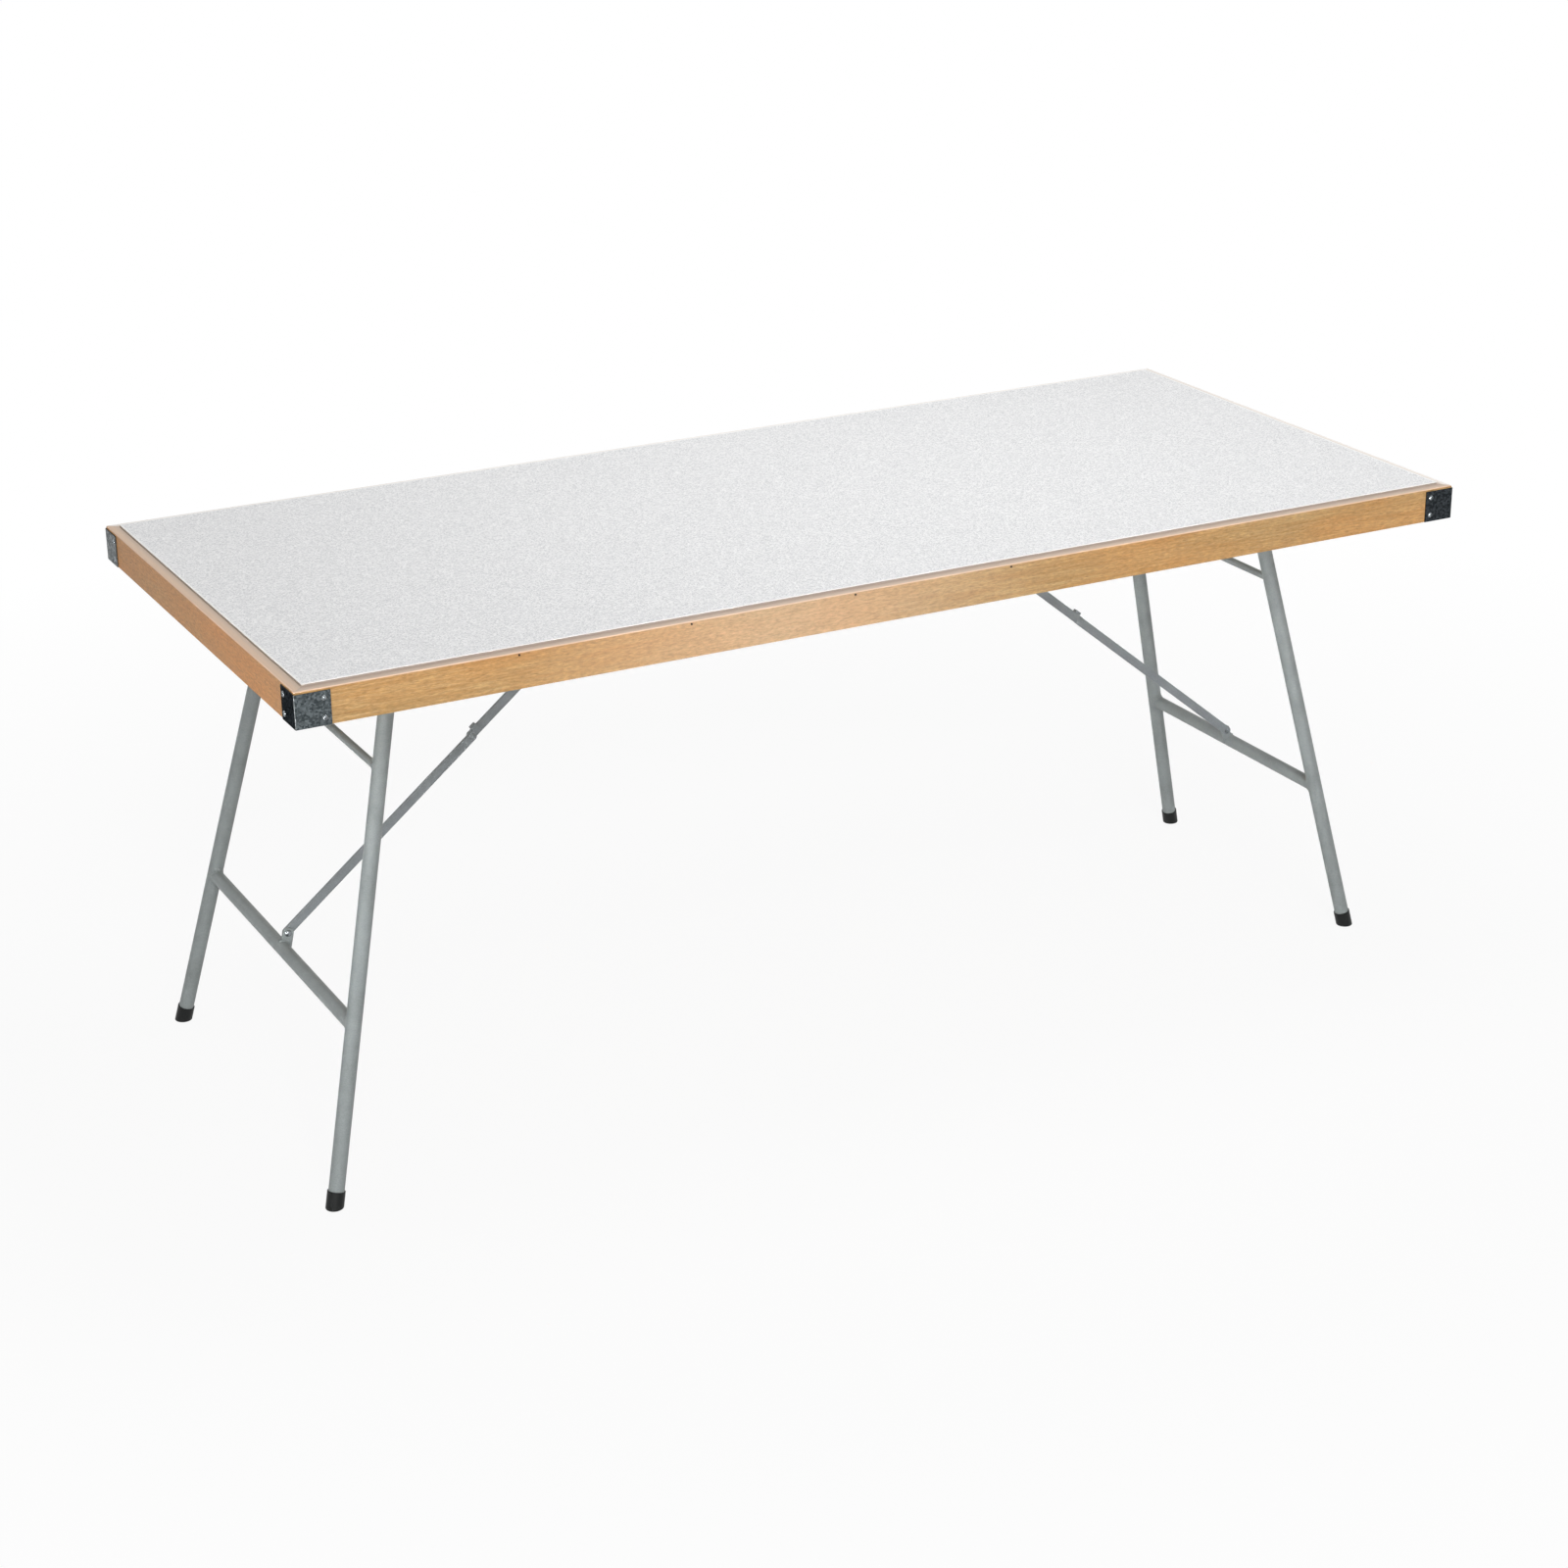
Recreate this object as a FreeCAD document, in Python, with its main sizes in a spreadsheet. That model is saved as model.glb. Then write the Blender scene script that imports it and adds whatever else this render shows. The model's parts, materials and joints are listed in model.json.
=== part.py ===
"""Folding trestle table.

A laminated panel framed in beech rails stands on two tube leg frames that fold flat into the recess
under the top. A strut of two flat links locks each frame. Millimetres, +Z up, floor at z = 0, +X along
the table's length, origin on the floor under the middle of the top. The left frame stands at -X.
"""
import FreeCAD
import Part
import math
import os
import re
import Sketcher

# Driving dimensions: alias, value, meaning
SIZES = (
    # Top
    ("top_length", 1800, "rail frame, outside length"),
    ("top_width", 800, "rail frame, outside width"),
    ("top_height", 770, "floor to the laminate"),
    ("rail_height", 50, "rails, height"),
    ("rail_thickness", 22, "rails, thickness"),
    ("rebate_width", 7, "ledge of the rails under the board"),
    ("arris_radius", 2.5, "rounding of the rails' top outer edge"),
    ("board_thickness", 12, "plywood board"),
    ("laminate_thickness", 1, "laminate sheet"),
    ("panel_gap", 0.6, "shadow gap between panel and rails"),
    ("panel_proud", 3, "laminate above the rails"),
    # Corner plates
    ("plate_thickness", 1.5, "corner plates, sheet"),
    ("plate_flange", 47, "corner plates, length along each rail"),
    ("plate_drop", 4, "rails' top to the plates' top edge"),
    ("plate_screw_inset", 9, "screws from a flange's free edge"),
    ("plate_screw_margin", 10, "screws from a plate's top and bottom edges"),
    # Screws and brads
    ("screw_diameter", 4, "screw shank"),
    ("screw_head_diameter", 8, "screw head"),
    ("screw_head_height", 2.4, "screw head dome"),
    ("screw_slot_width", 1.2, "cross slot in a screw head"),
    ("screw_slot_depth", 1.3, "cross slot in a screw head"),
    ("screw_slot_length", 4.8, "cross slot in a screw head"),
    ("plate_screw_length", 13, "corner plate screws, under the head"),
    ("board_screw_length", 11, "bracket screws, under the head"),
    ("brad_diameter", 1.6, "brad shank"),
    ("brad_head_diameter", 3, "brad head"),
    ("brad_head_thickness", 0.8, "brad head"),
    ("brad_length", 32, "brad under its head"),
    ("brad_margin", 302, "long rail's left end to its first brad"),
    ("brad_spacing", 245, "from one brad to the next"),
    ("long_rail_brads", 4, "brads in a long rail"),
    # Hinges
    ("hinge_inset", 200, "end of the top to the hinge axis"),
    ("hinge_drop", 22, "board's underside to the hinge axis"),
    ("bracket_thickness", 2.5, "hinge brackets, sheet"),
    ("bracket_length", 64, "hinge brackets, base along the table"),
    ("bracket_screw_spacing", 46, "screws of a hinge bracket"),
    ("cheek_radius", 13, "rounded end of a bracket's cheek"),
    ("hinge_side_gap", 0.4, "tube to cheek on each side"),
    ("bolt_diameter", 6, "hinge bolts"),
    ("bolt_head_flats", 10, "hinge bolts and nuts, across flats"),
    ("bolt_head_height", 4, "hinge bolt head"),
    ("nut_height", 5, "hinge nut"),
    ("bolt_spare", 2, "thread past the nut"),
    # Leg frames
    ("tube_diameter", 22, "leg tube"),
    ("tube_wall", 1.5, "leg tube and lower crossbar wall"),
    ("tube_top", 11, "tube above the hinge axis"),
    ("leg_lean", 13.2, "lean of the leg frames from upright, degrees"),
    ("left_hinge_setback", 185, "left frame, top's long edge to a leg at the hinge"),
    ("left_foot_setback", 71, "left frame, top's long edge to a leg at the floor"),
    ("right_hinge_setback", 223, "right frame, top's long edge to a leg at the hinge"),
    ("right_foot_setback", 154, "right frame, top's long edge to a leg at the floor"),
    ("cap_wall", 1.5, "foot cap sleeve"),
    ("cap_grip", 16, "foot cap sleeve along the tube"),
    ("cap_sole", 8, "tube's end to the floor along the tube"),
    ("cap_edge_radius", 1.5, "rounding of a foot cap's sole"),
    ("lower_bar_diameter", 20, "lower crossbar"),
    ("lower_bar_along", 506, "hinge axis to the lower crossbar"),
    ("upper_bar_diameter", 11, "upper crossbar"),
    ("upper_bar_along", 157, "hinge axis to the upper crossbar"),
    ("upper_bar_set", 7.5, "upper crossbar outward of the legs' plane"),
    # Struts
    ("strut_reach", 480, "hinge axis to the strut's anchor, along the table"),
    ("strut_offset", 5.5, "strut pivots above the hinge axis when folded"),
    ("lug_along", 484, "hinge axis to the lug's pivot, along the legs"),
    ("lug_radius", 8, "lug's rounded end"),
    ("lug_thickness", 4, "lug, flat bar"),
    ("link_height", 13, "links, flat bar"),
    ("link_thickness", 4, "links, flat bar"),
    ("flange_thickness", 3, "strut brackets, sheet"),
    ("flange_radius", 9, "strut brackets, rounded end"),
    ("strut_bracket_length", 23, "strut brackets, along the table"),
    ("strut_bracket_width", 42, "strut brackets, base across the table"),
    ("strut_screw_spacing", 20, "screws of a strut bracket"),
    ("strut_gap", 0.3, "between the flat pieces of a strut"),
    ("rivet_diameter", 6, "strut rivets"),
    ("rivet_head_diameter", 10, "strut rivet head"),
    ("rivet_head_height", 2.5, "strut rivet head dome"),
    ("rivet_sink_diameter", 9, "strut rivet's flush end"),
    ("rivet_sink_depth", 1.5, "strut rivet's flush end"),
    ("tab_reach", 16, "lower link past the knuckle"),
    ("tab_length", 10, "stop tab along the strut"),
    ("tab_thickness", 4, "stop tab above the upper link"),
    ("tab_gap", 0.4, "stop tab to the upper link"),
    ("tab_arm_height", 5.5, "lower link's arm that carries the stop tab"),
    # Fits
    ("running_fit", 0.05, "radial clearance round pins, bolts, screws and tubes"),
)

# Values worked out from the driving dimensions: alias, formula
DERIVED = (
    ("half_length", "top_length / 2"),
    ("half_width", "top_width / 2"),
    ("rail_bottom", "top_height - panel_proud - rail_height"),
    ("panel_depth", "board_thickness + laminate_thickness"),
    ("rebate_rise", "rail_height + panel_proud - panel_depth"),
    ("board_bottom", "top_height - panel_depth"),
    ("board_top", "top_height - laminate_thickness"),
    ("rim", "rail_thickness - rebate_width"),
    ("panel_length", "top_length - 2 * (rim + panel_gap)"),
    ("panel_width", "top_width - 2 * (rim + panel_gap)"),
    ("plate_height", "rail_height - plate_drop"),
    ("brad_rise", "rebate_rise + board_thickness / 2"),
    ("axis_x", "half_length - hinge_inset"),
    ("axis_height", "board_bottom - hinge_drop"),
    ("fold", "90 + leg_lean"),
    ("leg_run", "axis_height / cos(leg_lean * 1 deg)"),
    ("left_hinge_half", "half_width - left_hinge_setback"),
    ("left_foot_half", "half_width - left_foot_setback"),
    ("right_hinge_half", "half_width - right_hinge_setback"),
    ("right_foot_half", "half_width - right_foot_setback"),
    ("left_splay", "atan2(left_foot_half - left_hinge_half; leg_run) / 1 deg"),
    ("right_splay", "atan2(right_foot_half - right_hinge_half; leg_run) / 1 deg"),
    ("widest_splay", "max(left_splay; right_splay)"),
    ("left_leg_floor", "leg_run / cos(left_splay * 1 deg)"),
    ("right_leg_floor", "leg_run / cos(right_splay * 1 deg)"),
    ("foot_x", "axis_x + axis_height * tan(leg_lean * 1 deg)"),
    ("cap_diameter", "tube_diameter + 2 * cap_wall"),
    ("splay_room", "2 * cheek_radius * tan(widest_splay * 1 deg)"),
    ("hinge_gap", "tube_diameter / cos(widest_splay * 1 deg) + splay_room + 2 * hinge_side_gap"),
    ("bracket_width", "hinge_gap + 2 * bracket_thickness"),
    ("bolt_length", "bracket_width + nut_height + bolt_spare"),
    ("hexagon_radius", "bolt_head_flats / sqrt(3)"),
    ("screw_dome_radius", "((screw_head_diameter / 2)^2 + screw_head_height^2) / (2 * screw_head_height)"),
    ("screw_dome_base", "screw_dome_radius - screw_head_height"),
    ("rivet_dome_radius", "((rivet_head_diameter / 2)^2 + rivet_head_height^2) / (2 * rivet_head_height)"),
    ("rivet_dome_base", "rivet_dome_radius - rivet_head_height"),
    ("lug_x", "lug_along * cos(fold * 1 deg) + strut_offset * sin(fold * 1 deg)"),
    ("lug_z", "strut_offset * cos(fold * 1 deg) - lug_along * sin(fold * 1 deg)"),
    ("strut_run", "strut_reach - lug_x"),
    ("strut_rise", "strut_offset - lug_z"),
    ("strut_length", "sqrt(strut_run^2 + strut_rise^2)"),
    ("strut_slope", "atan2(strut_rise; strut_run) / 1 deg"),
    ("lower_link_length", "(strut_length + lug_along - strut_reach) / 2"),
    ("upper_link_length", "(strut_length - lug_along + strut_reach) / 2"),
    ("link_inner", "strut_gap / 2"),
    ("link_outer", "link_inner + link_thickness"),
    ("lug_inner", "link_outer + strut_gap"),
    ("lug_outer", "lug_inner + lug_thickness"),
    ("flange_inner", "link_outer + strut_gap"),
    ("flange_outer", "flange_inner + flange_thickness"),
)

SIDES = {"left": ("-axis_x", 0), "right": ("axis_x", 180)}
ENDS = {"front": -1, "rear": 1}
X_AXIS = "vector(1; 0; 0)"
Y_AXIS = "vector(0; 1; 0)"
Z_AXIS = "vector(0; 0; 1)"
ALONG_PLUS_Y = f"rotation({X_AXIS}; -90)"
ALONG_MINUS_Y = f"rotation({X_AXIS}; 90)"
NO_TURN = f"rotation({Z_AXIS}; 0)"

# Points tried along an edge, to tell whether it lies on the floor
FLOOR_POINTS = 5

doc = FreeCAD.newDocument("folding_trestle_table")
sheet = doc.addObject("Spreadsheet::Sheet", "sizes")
aliases = {alias for alias, *_ in SIZES + DERIVED}
nodes = {}


def fill_sheet():
    """Write the driving dimensions and the values worked out from them."""
    for row, (alias, value, meaning) in enumerate(SIZES, start=1):
        sheet.set(f"A{row}", meaning)
        sheet.set(f"B{row}", str(value))
        sheet.setAlias(f"B{row}", alias)
    for row, (alias, formula) in enumerate(DERIVED, start=len(SIZES) + 1):
        sheet.set(f"B{row}", "=" + formula)
        sheet.setAlias(f"B{row}", alias)
    doc.recompute()


def size(alias):
    """The number in a cell of the sheet."""
    return float(sheet.get(alias))


def from_sheet(formula):
    """A formula of bare aliases, written for use outside the sheet."""
    return re.sub(r"\b[a-z_]+\b", lambda word: "sizes." + word[0] if word[0] in aliases else word[0], formula)


def bind(item, **formulas):
    """Bind properties of an object to formulas of the sheet's aliases."""
    for name, formula in formulas.items():
        item.setExpression(name, from_sheet(str(formula)))
    return item


def make(kind, name, **formulas):
    """A new object with its properties bound to the sheet."""
    return bind(doc.addObject(kind, name), **formulas)


def at(x, y, z, turn=NO_TURN, datum=""):
    """Formula of a placement, in a datum's frame if one is named."""
    place = f"placement(vector({x}; {y}; {z}); {turn})"
    return f"{datum}.Placement * {place}" if datum else place


def slab(name, datum, low, spans):
    """Box from its low corner and its three spans, in a datum's frame."""
    return make("Part::Box", name, Length=spans[0], Width=spans[1], Height=spans[2],
                Placement=at(*low, datum=datum))


def rod(name, datum, start, diameter, length, turn=NO_TURN):
    """Cylinder from the middle of its first end, in a datum's frame."""
    return make("Part::Cylinder", name, Radius=f"({diameter}) / 2", Height=length,
                Placement=at(*start, turn=turn, datum=datum))


def fuse(name, *items):
    """One solid of several."""
    item = doc.addObject("Part::MultiFuse", name)
    item.Shapes = list(items)
    item.Refine = True
    return item


def cut(name, base, *tools):
    """A solid with others taken out of it."""
    for tool in tools:
        item = doc.addObject("Part::Cut", name)
        item.Base = base
        item.Tool = tool
        base = item
    return base


def node(name, item):
    """Name a finished sub-part."""
    item.Label = name
    nodes[name] = item
    return item


def spot(x, y, z, axis=(0, 0, 1), angle=0):
    """A placement in numbers, for copies of a fastener."""
    return FreeCAD.Placement(FreeCAD.Vector(x, y, z), FreeCAD.Rotation(FreeCAD.Vector(*axis), angle))


def group(name, shape, places):
    """Copies of one shape as separate solids in one object."""
    copies = []
    for place in places:
        copy = shape.copy()
        copy.Placement = place.multiply(copy.Placement)
        copies.append(copy)
    item = doc.addObject("Part::Feature", name)
    item.Shape = Part.makeCompound(copies)
    return item


def drill(name, diameter, depth, places):
    """Holes that go down from the seats of a group of screws or brads."""
    radius = diameter / 2 + size("running_fit")
    start = FreeCAD.Vector(0, 0, -depth)
    return group(name, Part.makeCylinder(radius, depth, start), places)


def origin_plane(body, role):
    """One of a body's own origin planes."""
    return next(item for item in body.Origin.OriginFeatures if item.Role == role)


def outline(body, role, name, points):
    """Closed sketch of straight lines through points that are pairs of formulas."""
    sketch = body.newObject("Sketcher::SketchObject", name)
    sketch.AttachmentSupport = (origin_plane(body, role), "")
    sketch.MapMode = "FlatFace"
    count = len(points)
    ring = []
    for index in range(count):
        angle = 2 * math.pi * index / count
        ring.append(FreeCAD.Vector(math.cos(angle), math.sin(angle), 0) * size("rail_height"))
    for index in range(count):
        sketch.addGeometry(Part.LineSegment(ring[index], ring[(index + 1) % count]))
    for index in range(count):
        sketch.addConstraint(Sketcher.Constraint("Coincident", index, 2, (index + 1) % count, 1))
    for index, point in enumerate(points):
        for kind, start, formula in zip(("DistanceX", "DistanceY"), ring[index], point):
            number = sketch.addConstraint(Sketcher.Constraint(kind, -1, 1, index, 1, start))
            bind(sketch, **{f"Constraints[{number}]": formula})
    return sketch


def pad(body, sketch, name, length, symmetric=False):
    """Pad of a sketch along its plane's normal."""
    feature = body.newObject("PartDesign::Pad", name)
    feature.Profile = sketch
    if symmetric:
        feature.SideType = "Symmetric"
    return bind(feature, Length=length)


def pocket_through(body, sketch, name):
    """Pocket of a sketch through the whole body, to both sides of its plane."""
    feature = body.newObject("PartDesign::Pocket", name)
    feature.Profile = sketch
    feature.SideType = "Symmetric"
    feature.Type = "ThroughAll"
    return feature


def round_edges(body, base, name, radius, wanted):
    """Fillet the edges whose points all answer to wanted."""
    doc.recompute()
    edges = []
    for index, edge in enumerate(base.Shape.Edges, start=1):
        if all(wanted(vertex.Point) for vertex in edge.Vertexes):
            edges.append(f"Edge{index}")
    if not edges:
        raise RuntimeError(f"{name} found no edge")
    feature = body.newObject("PartDesign::Fillet", name)
    feature.Base = (base, edges)
    return bind(feature, Radius=radius)


def near(first, second):
    """Whether two coordinates are the same."""
    return math.isclose(first, second, abs_tol=1e-6)


def datum(name, place):
    """A named frame that pieces are placed in."""
    return make("App::Placement", name, Placement=place)


# Frames of the legs, struts and hinges
def make_datums():
    """Frames at each hinge axis, along each leg, along each strut and at each hinge bracket."""
    for side, (x, turn) in SIDES.items():
        datum(f"{side}_side", at(x, 0, "axis_height", f"rotation({Z_AXIS}; {turn})"))
        datum(f"{side}_frame", at(0, 0, 0, f"rotation({Y_AXIS}; fold)", f"{side}_side"))
        datum(f"{side}_strut", at("lug_x", 0, "lug_z", f"rotation({Y_AXIS}; -strut_slope)", f"{side}_side"))
        for end, sign in leg_signs(side).items():
            hinge = at(0, f"{sign} * {side}_hinge_half", 0, f"rotation({Z_AXIS}; {sign} * {side}_splay)",
                       f"{side}_frame")
            datum(f"{side}_{end}_plane", hinge)
            datum(f"{side}_{end}_axis", at(0, 0, 0, f"rotation({Y_AXIS}; 90)", f"{side}_{end}_plane"))
            datum(f"{end}_{side}_hinge", at(x, f"{ENDS[end]} * {side}_hinge_half", "axis_height"))


def leg_signs(side):
    """Which way each leg lies from the middle of its frame, in the frame's own Y."""
    facing = 1 if side == "left" else -1
    return {end: sign * facing for end, sign in ENDS.items()}


# Fasteners, each made once and copied into its group
def pan_screw(name, length):
    """Pan-head screw: seat at z = 0, head up, shank down to a point."""
    dome = make("Part::Sphere", f"{name}_dome", Radius="screw_dome_radius",
                Angle1="asin(screw_dome_base / screw_dome_radius)", Angle2="90",
                Placement=at(0, 0, "-screw_dome_base"))
    shank = rod(f"{name}_shank", "", (0, 0, f"screw_diameter - {length}"), "screw_diameter",
                f"{length} - screw_diameter")
    point = make("Part::Cone", f"{name}_point", Radius1="0", Radius2="screw_diameter / 2",
                 Height="screw_diameter", Placement=at(0, 0, f"-{length}"))
    slots = []
    for word, turn in (("first", 0), ("second", 90)):
        datum(f"{name}_{word}_turn", at(0, 0, "screw_head_height - screw_slot_depth",
                                        f"rotation({Z_AXIS}; {turn})"))
        slots.append(slab(f"{name}_{word}_slot", f"{name}_{word}_turn",
                          ("-screw_slot_length / 2", "-screw_slot_width / 2", 0),
                          ("screw_slot_length", "screw_slot_width", "screw_slot_depth")))
    return cut(name, fuse(f"{name}_blank", dome, shank, point), *slots)


def brad():
    """Brad: seat of its flat head at z = 0, shank down."""
    head = rod("brad_head", "", (0, 0, 0), "brad_head_diameter", "brad_head_thickness")
    shank = rod("brad_shank", "", (0, 0, "-brad_length"), "brad_diameter", "brad_length")
    return fuse("brad", head, shank)


def hexagon(name, z, height):
    """Hexagonal bar of a bolt's head or nut."""
    item = make("Part::Prism", name, Circumradius="hexagon_radius", Height=height, Placement=at(0, 0, z))
    item.Polygon = 6
    return item


def hinge_bolt():
    """Hexagon bolt: seat of its head at z = 0, shank up."""
    head = hexagon("bolt_head", "-bolt_head_height", "bolt_head_height")
    shank = rod("bolt_shank", "", (0, 0, 0), "bolt_diameter", "bolt_length")
    return fuse("bolt", head, shank)


def hinge_nut():
    """Hexagon nut: seat at z = 0."""
    bore = rod("nut_bore", "", (0, 0, 0), "bolt_diameter + 2 * running_fit", "nut_height")
    return cut("nut", hexagon("nut_blank", 0, "nut_height"), bore)


def rivet(name, place, length, sunk):
    """Dome-head rivet: head seat at z = 0, shank up, ending flush in a countersink if sunk."""
    dome = make("Part::Sphere", f"{name}_dome", Radius="rivet_dome_radius",
                Angle1="asin(rivet_dome_base / rivet_dome_radius)", Angle2="90",
                Placement=at(0, 0, "rivet_dome_base", f"rotation({X_AXIS}; 180)"))
    pieces = [dome, rod(f"{name}_shank", "", (0, 0, 0), "rivet_diameter", length)]
    if sunk:
        pieces.append(make("Part::Cone", f"{name}_flush_end", Radius1="rivet_diameter / 2",
                           Radius2="rivet_sink_diameter / 2", Height="rivet_sink_depth",
                           Placement=at(0, 0, f"{length} - rivet_sink_depth")))
    return bind(fuse(name, *pieces), Placement=place)


# Top
def make_rail(name, length, x, y, turn):
    """Rail with a rebate for the board, mitred ends and an eased arris, its outer face at its own y = 0."""
    body = doc.addObject("PartDesign::Body", f"{name}_blank")
    section = outline(body, "YZ_Plane", f"{name}_section", (
        ("0", "0"), ("rail_thickness", "0"), ("rail_thickness", "rebate_rise"),
        ("rim", "rebate_rise"), ("rim", "rail_height"), ("0", "rail_height")))
    feature = pad(body, section, f"{name}_pad", length, symmetric=True)
    for end in (-1, 1):
        corner = f"{end} * {length} / 2"
        mitre = outline(body, "XY_Plane", f"{name}_mitre", (
            (corner, "0"), (f"{corner} - {end} * rail_thickness", "rail_thickness"),
            (corner, "rail_thickness")))
        feature = pocket_through(body, mitre, f"{name}_saw_cut")
    top = size("rail_height")
    round_edges(body, feature, f"{name}_arris", "arris_radius",
                lambda point: near(point.y, 0) and near(point.z, top))
    return bind(body, Placement=at(x, y, "rail_bottom", f"rotation({Z_AXIS}; {turn})"))


def make_corner_plate(name, x, y, turn):
    """Bent angle plate outside a corner of the rails, which is at its own x = y = 0."""
    body = doc.addObject("PartDesign::Body", f"{name}_blank")
    section = outline(body, "XY_Plane", f"{name}_section", (
        ("-plate_thickness", "-plate_thickness"), ("plate_flange", "-plate_thickness"), ("plate_flange", "0"),
        ("0", "0"), ("0", "plate_flange"), ("-plate_thickness", "plate_flange")))
    feature = pad(body, section, f"{name}_pad", "plate_height")
    outside = -size("plate_thickness")
    round_edges(body, feature, f"{name}_bend", "plate_thickness",
                lambda point: near(point.x, outside) and near(point.y, outside))
    return bind(body, Placement=at(x, y, "rail_bottom", f"rotation({Z_AXIS}; {turn})"))


def plate_screw_places(plates):
    """Seats of the screws on both flanges of every corner plate."""
    along = size("plate_flange") - size("plate_screw_inset")
    outside = -size("plate_thickness")
    places = []
    for plate in plates:
        for z in (size("plate_screw_margin"), size("plate_height") - size("plate_screw_margin")):
            places.append(plate.Placement.multiply(spot(along, outside, z, (1, 0, 0), 90)))
            places.append(plate.Placement.multiply(spot(outside, along, z, (0, 1, 0), -90)))
    return places


def brad_places(long_rails):
    """Seats of the brads along each long rail, from its own left end."""
    first = size("brad_margin") - size("half_length")
    places = []
    for rail in long_rails:
        for index in range(int(size("long_rail_brads"))):
            x = first + index * size("brad_spacing")
            places.append(rail.Placement.multiply(spot(x, 0, size("brad_rise"), (1, 0, 0), 90)))
    return places


def bracket_screw_places():
    """Seats of the screws under the hinge brackets' bases."""
    z = size("board_bottom") - size("bracket_thickness")
    places = []
    for side in SIDES:
        for end in ENDS:
            middle = doc.getObject(f"{end}_{side}_hinge").Placement.Base
            for sign in (-1, 1):
                x = middle.x + sign * size("bracket_screw_spacing") / 2
                places.append(spot(x, middle.y, z, (1, 0, 0), 180))
    return places


def strut_screw_places():
    """Seats of the screws under the strut brackets' bases."""
    z = size("hinge_drop") - size("flange_thickness")
    middle = size("flange_outer") + (size("strut_bracket_width") - size("flange_thickness")) / 2
    places = []
    for side in SIDES:
        for sign in (-1, 1):
            y = middle + sign * size("strut_screw_spacing") / 2
            seat = spot(size("strut_reach"), y, z, (1, 0, 0), 180)
            places.append(doc.getObject(f"{side}_side").Placement.multiply(seat))
    return places


def bolt_places(nuts):
    """Seats of the hinge bolts on the outer cheeks, or of their nuts on the inner ones."""
    places = []
    for side in SIDES:
        for end, sign in ENDS.items():
            middle = doc.getObject(f"{end}_{side}_hinge").Placement.Base
            outward = -1 if nuts else 1
            y = middle.y + sign * outward * size("bracket_width") / 2
            places.append(spot(middle.x, y, middle.z, (1, 0, 0), sign * 90))
    return places


def make_top():
    """Board, laminate, rails, corner plates and what fastens them."""
    rails = {"front": make_rail("front_rail", "top_length", 0, "-half_width", 0),
             "rear": make_rail("rear_rail", "top_length", 0, "half_width", 180),
             "left": make_rail("left_rail", "top_width", "-half_length", 0, -90),
             "right": make_rail("right_rail", "top_width", "half_length", 0, 90)}
    plates = {"front_left": make_corner_plate("front_left_plate", "-half_length", "-half_width", 0),
              "front_right": make_corner_plate("front_right_plate", "half_length", "-half_width", 90),
              "rear_right": make_corner_plate("rear_right_plate", "half_length", "half_width", 180),
              "rear_left": make_corner_plate("rear_left_plate", "-half_length", "half_width", 270)}
    plate_screw = pan_screw("plate_screw", "plate_screw_length")
    board_screw = pan_screw("board_screw", "board_screw_length")
    one_brad = brad()
    doc.recompute()

    plate_seats = plate_screw_places(plates.values())
    brad_seats = brad_places((rails["front"], rails["rear"]))
    bracket_seats = bracket_screw_places()
    strut_seats = strut_screw_places()
    node("corner_plate_screws", group("corner_plate_screws", plate_screw.Shape, plate_seats))
    node("rail_brads", group("rail_brads", one_brad.Shape, brad_seats))
    node("hinge_bracket_screws", group("hinge_bracket_screws", board_screw.Shape, bracket_seats))
    node("strut_bracket_screws", group("strut_bracket_screws", board_screw.Shape, strut_seats))

    plate_holes = drill("plate_holes", size("screw_diameter"), size("plate_screw_length"), plate_seats)
    brad_holes = drill("brad_holes", size("brad_diameter"), size("brad_length"), brad_seats)
    board_holes = drill("board_holes", size("screw_diameter"), size("board_screw_length"),
                        bracket_seats + strut_seats)
    for word, rail in rails.items():
        node(f"{word}_rail", cut(f"{word}_rail", rail, plate_holes, brad_holes))
    for word, plate in plates.items():
        node(f"{word}_corner_plate", cut(f"{word}_corner_plate", plate, plate_holes))
    panel_low = ("-panel_length / 2", "-panel_width / 2")
    board = slab("board_blank", "", (*panel_low, "board_bottom"),
                 ("panel_length", "panel_width", "board_thickness"))
    node("board", cut("board", board, board_holes, brad_holes))
    node("top_laminate", slab("top_laminate", "", (*panel_low, "board_top"),
                              ("panel_length", "panel_width", "laminate_thickness")))
    return board_holes


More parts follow.
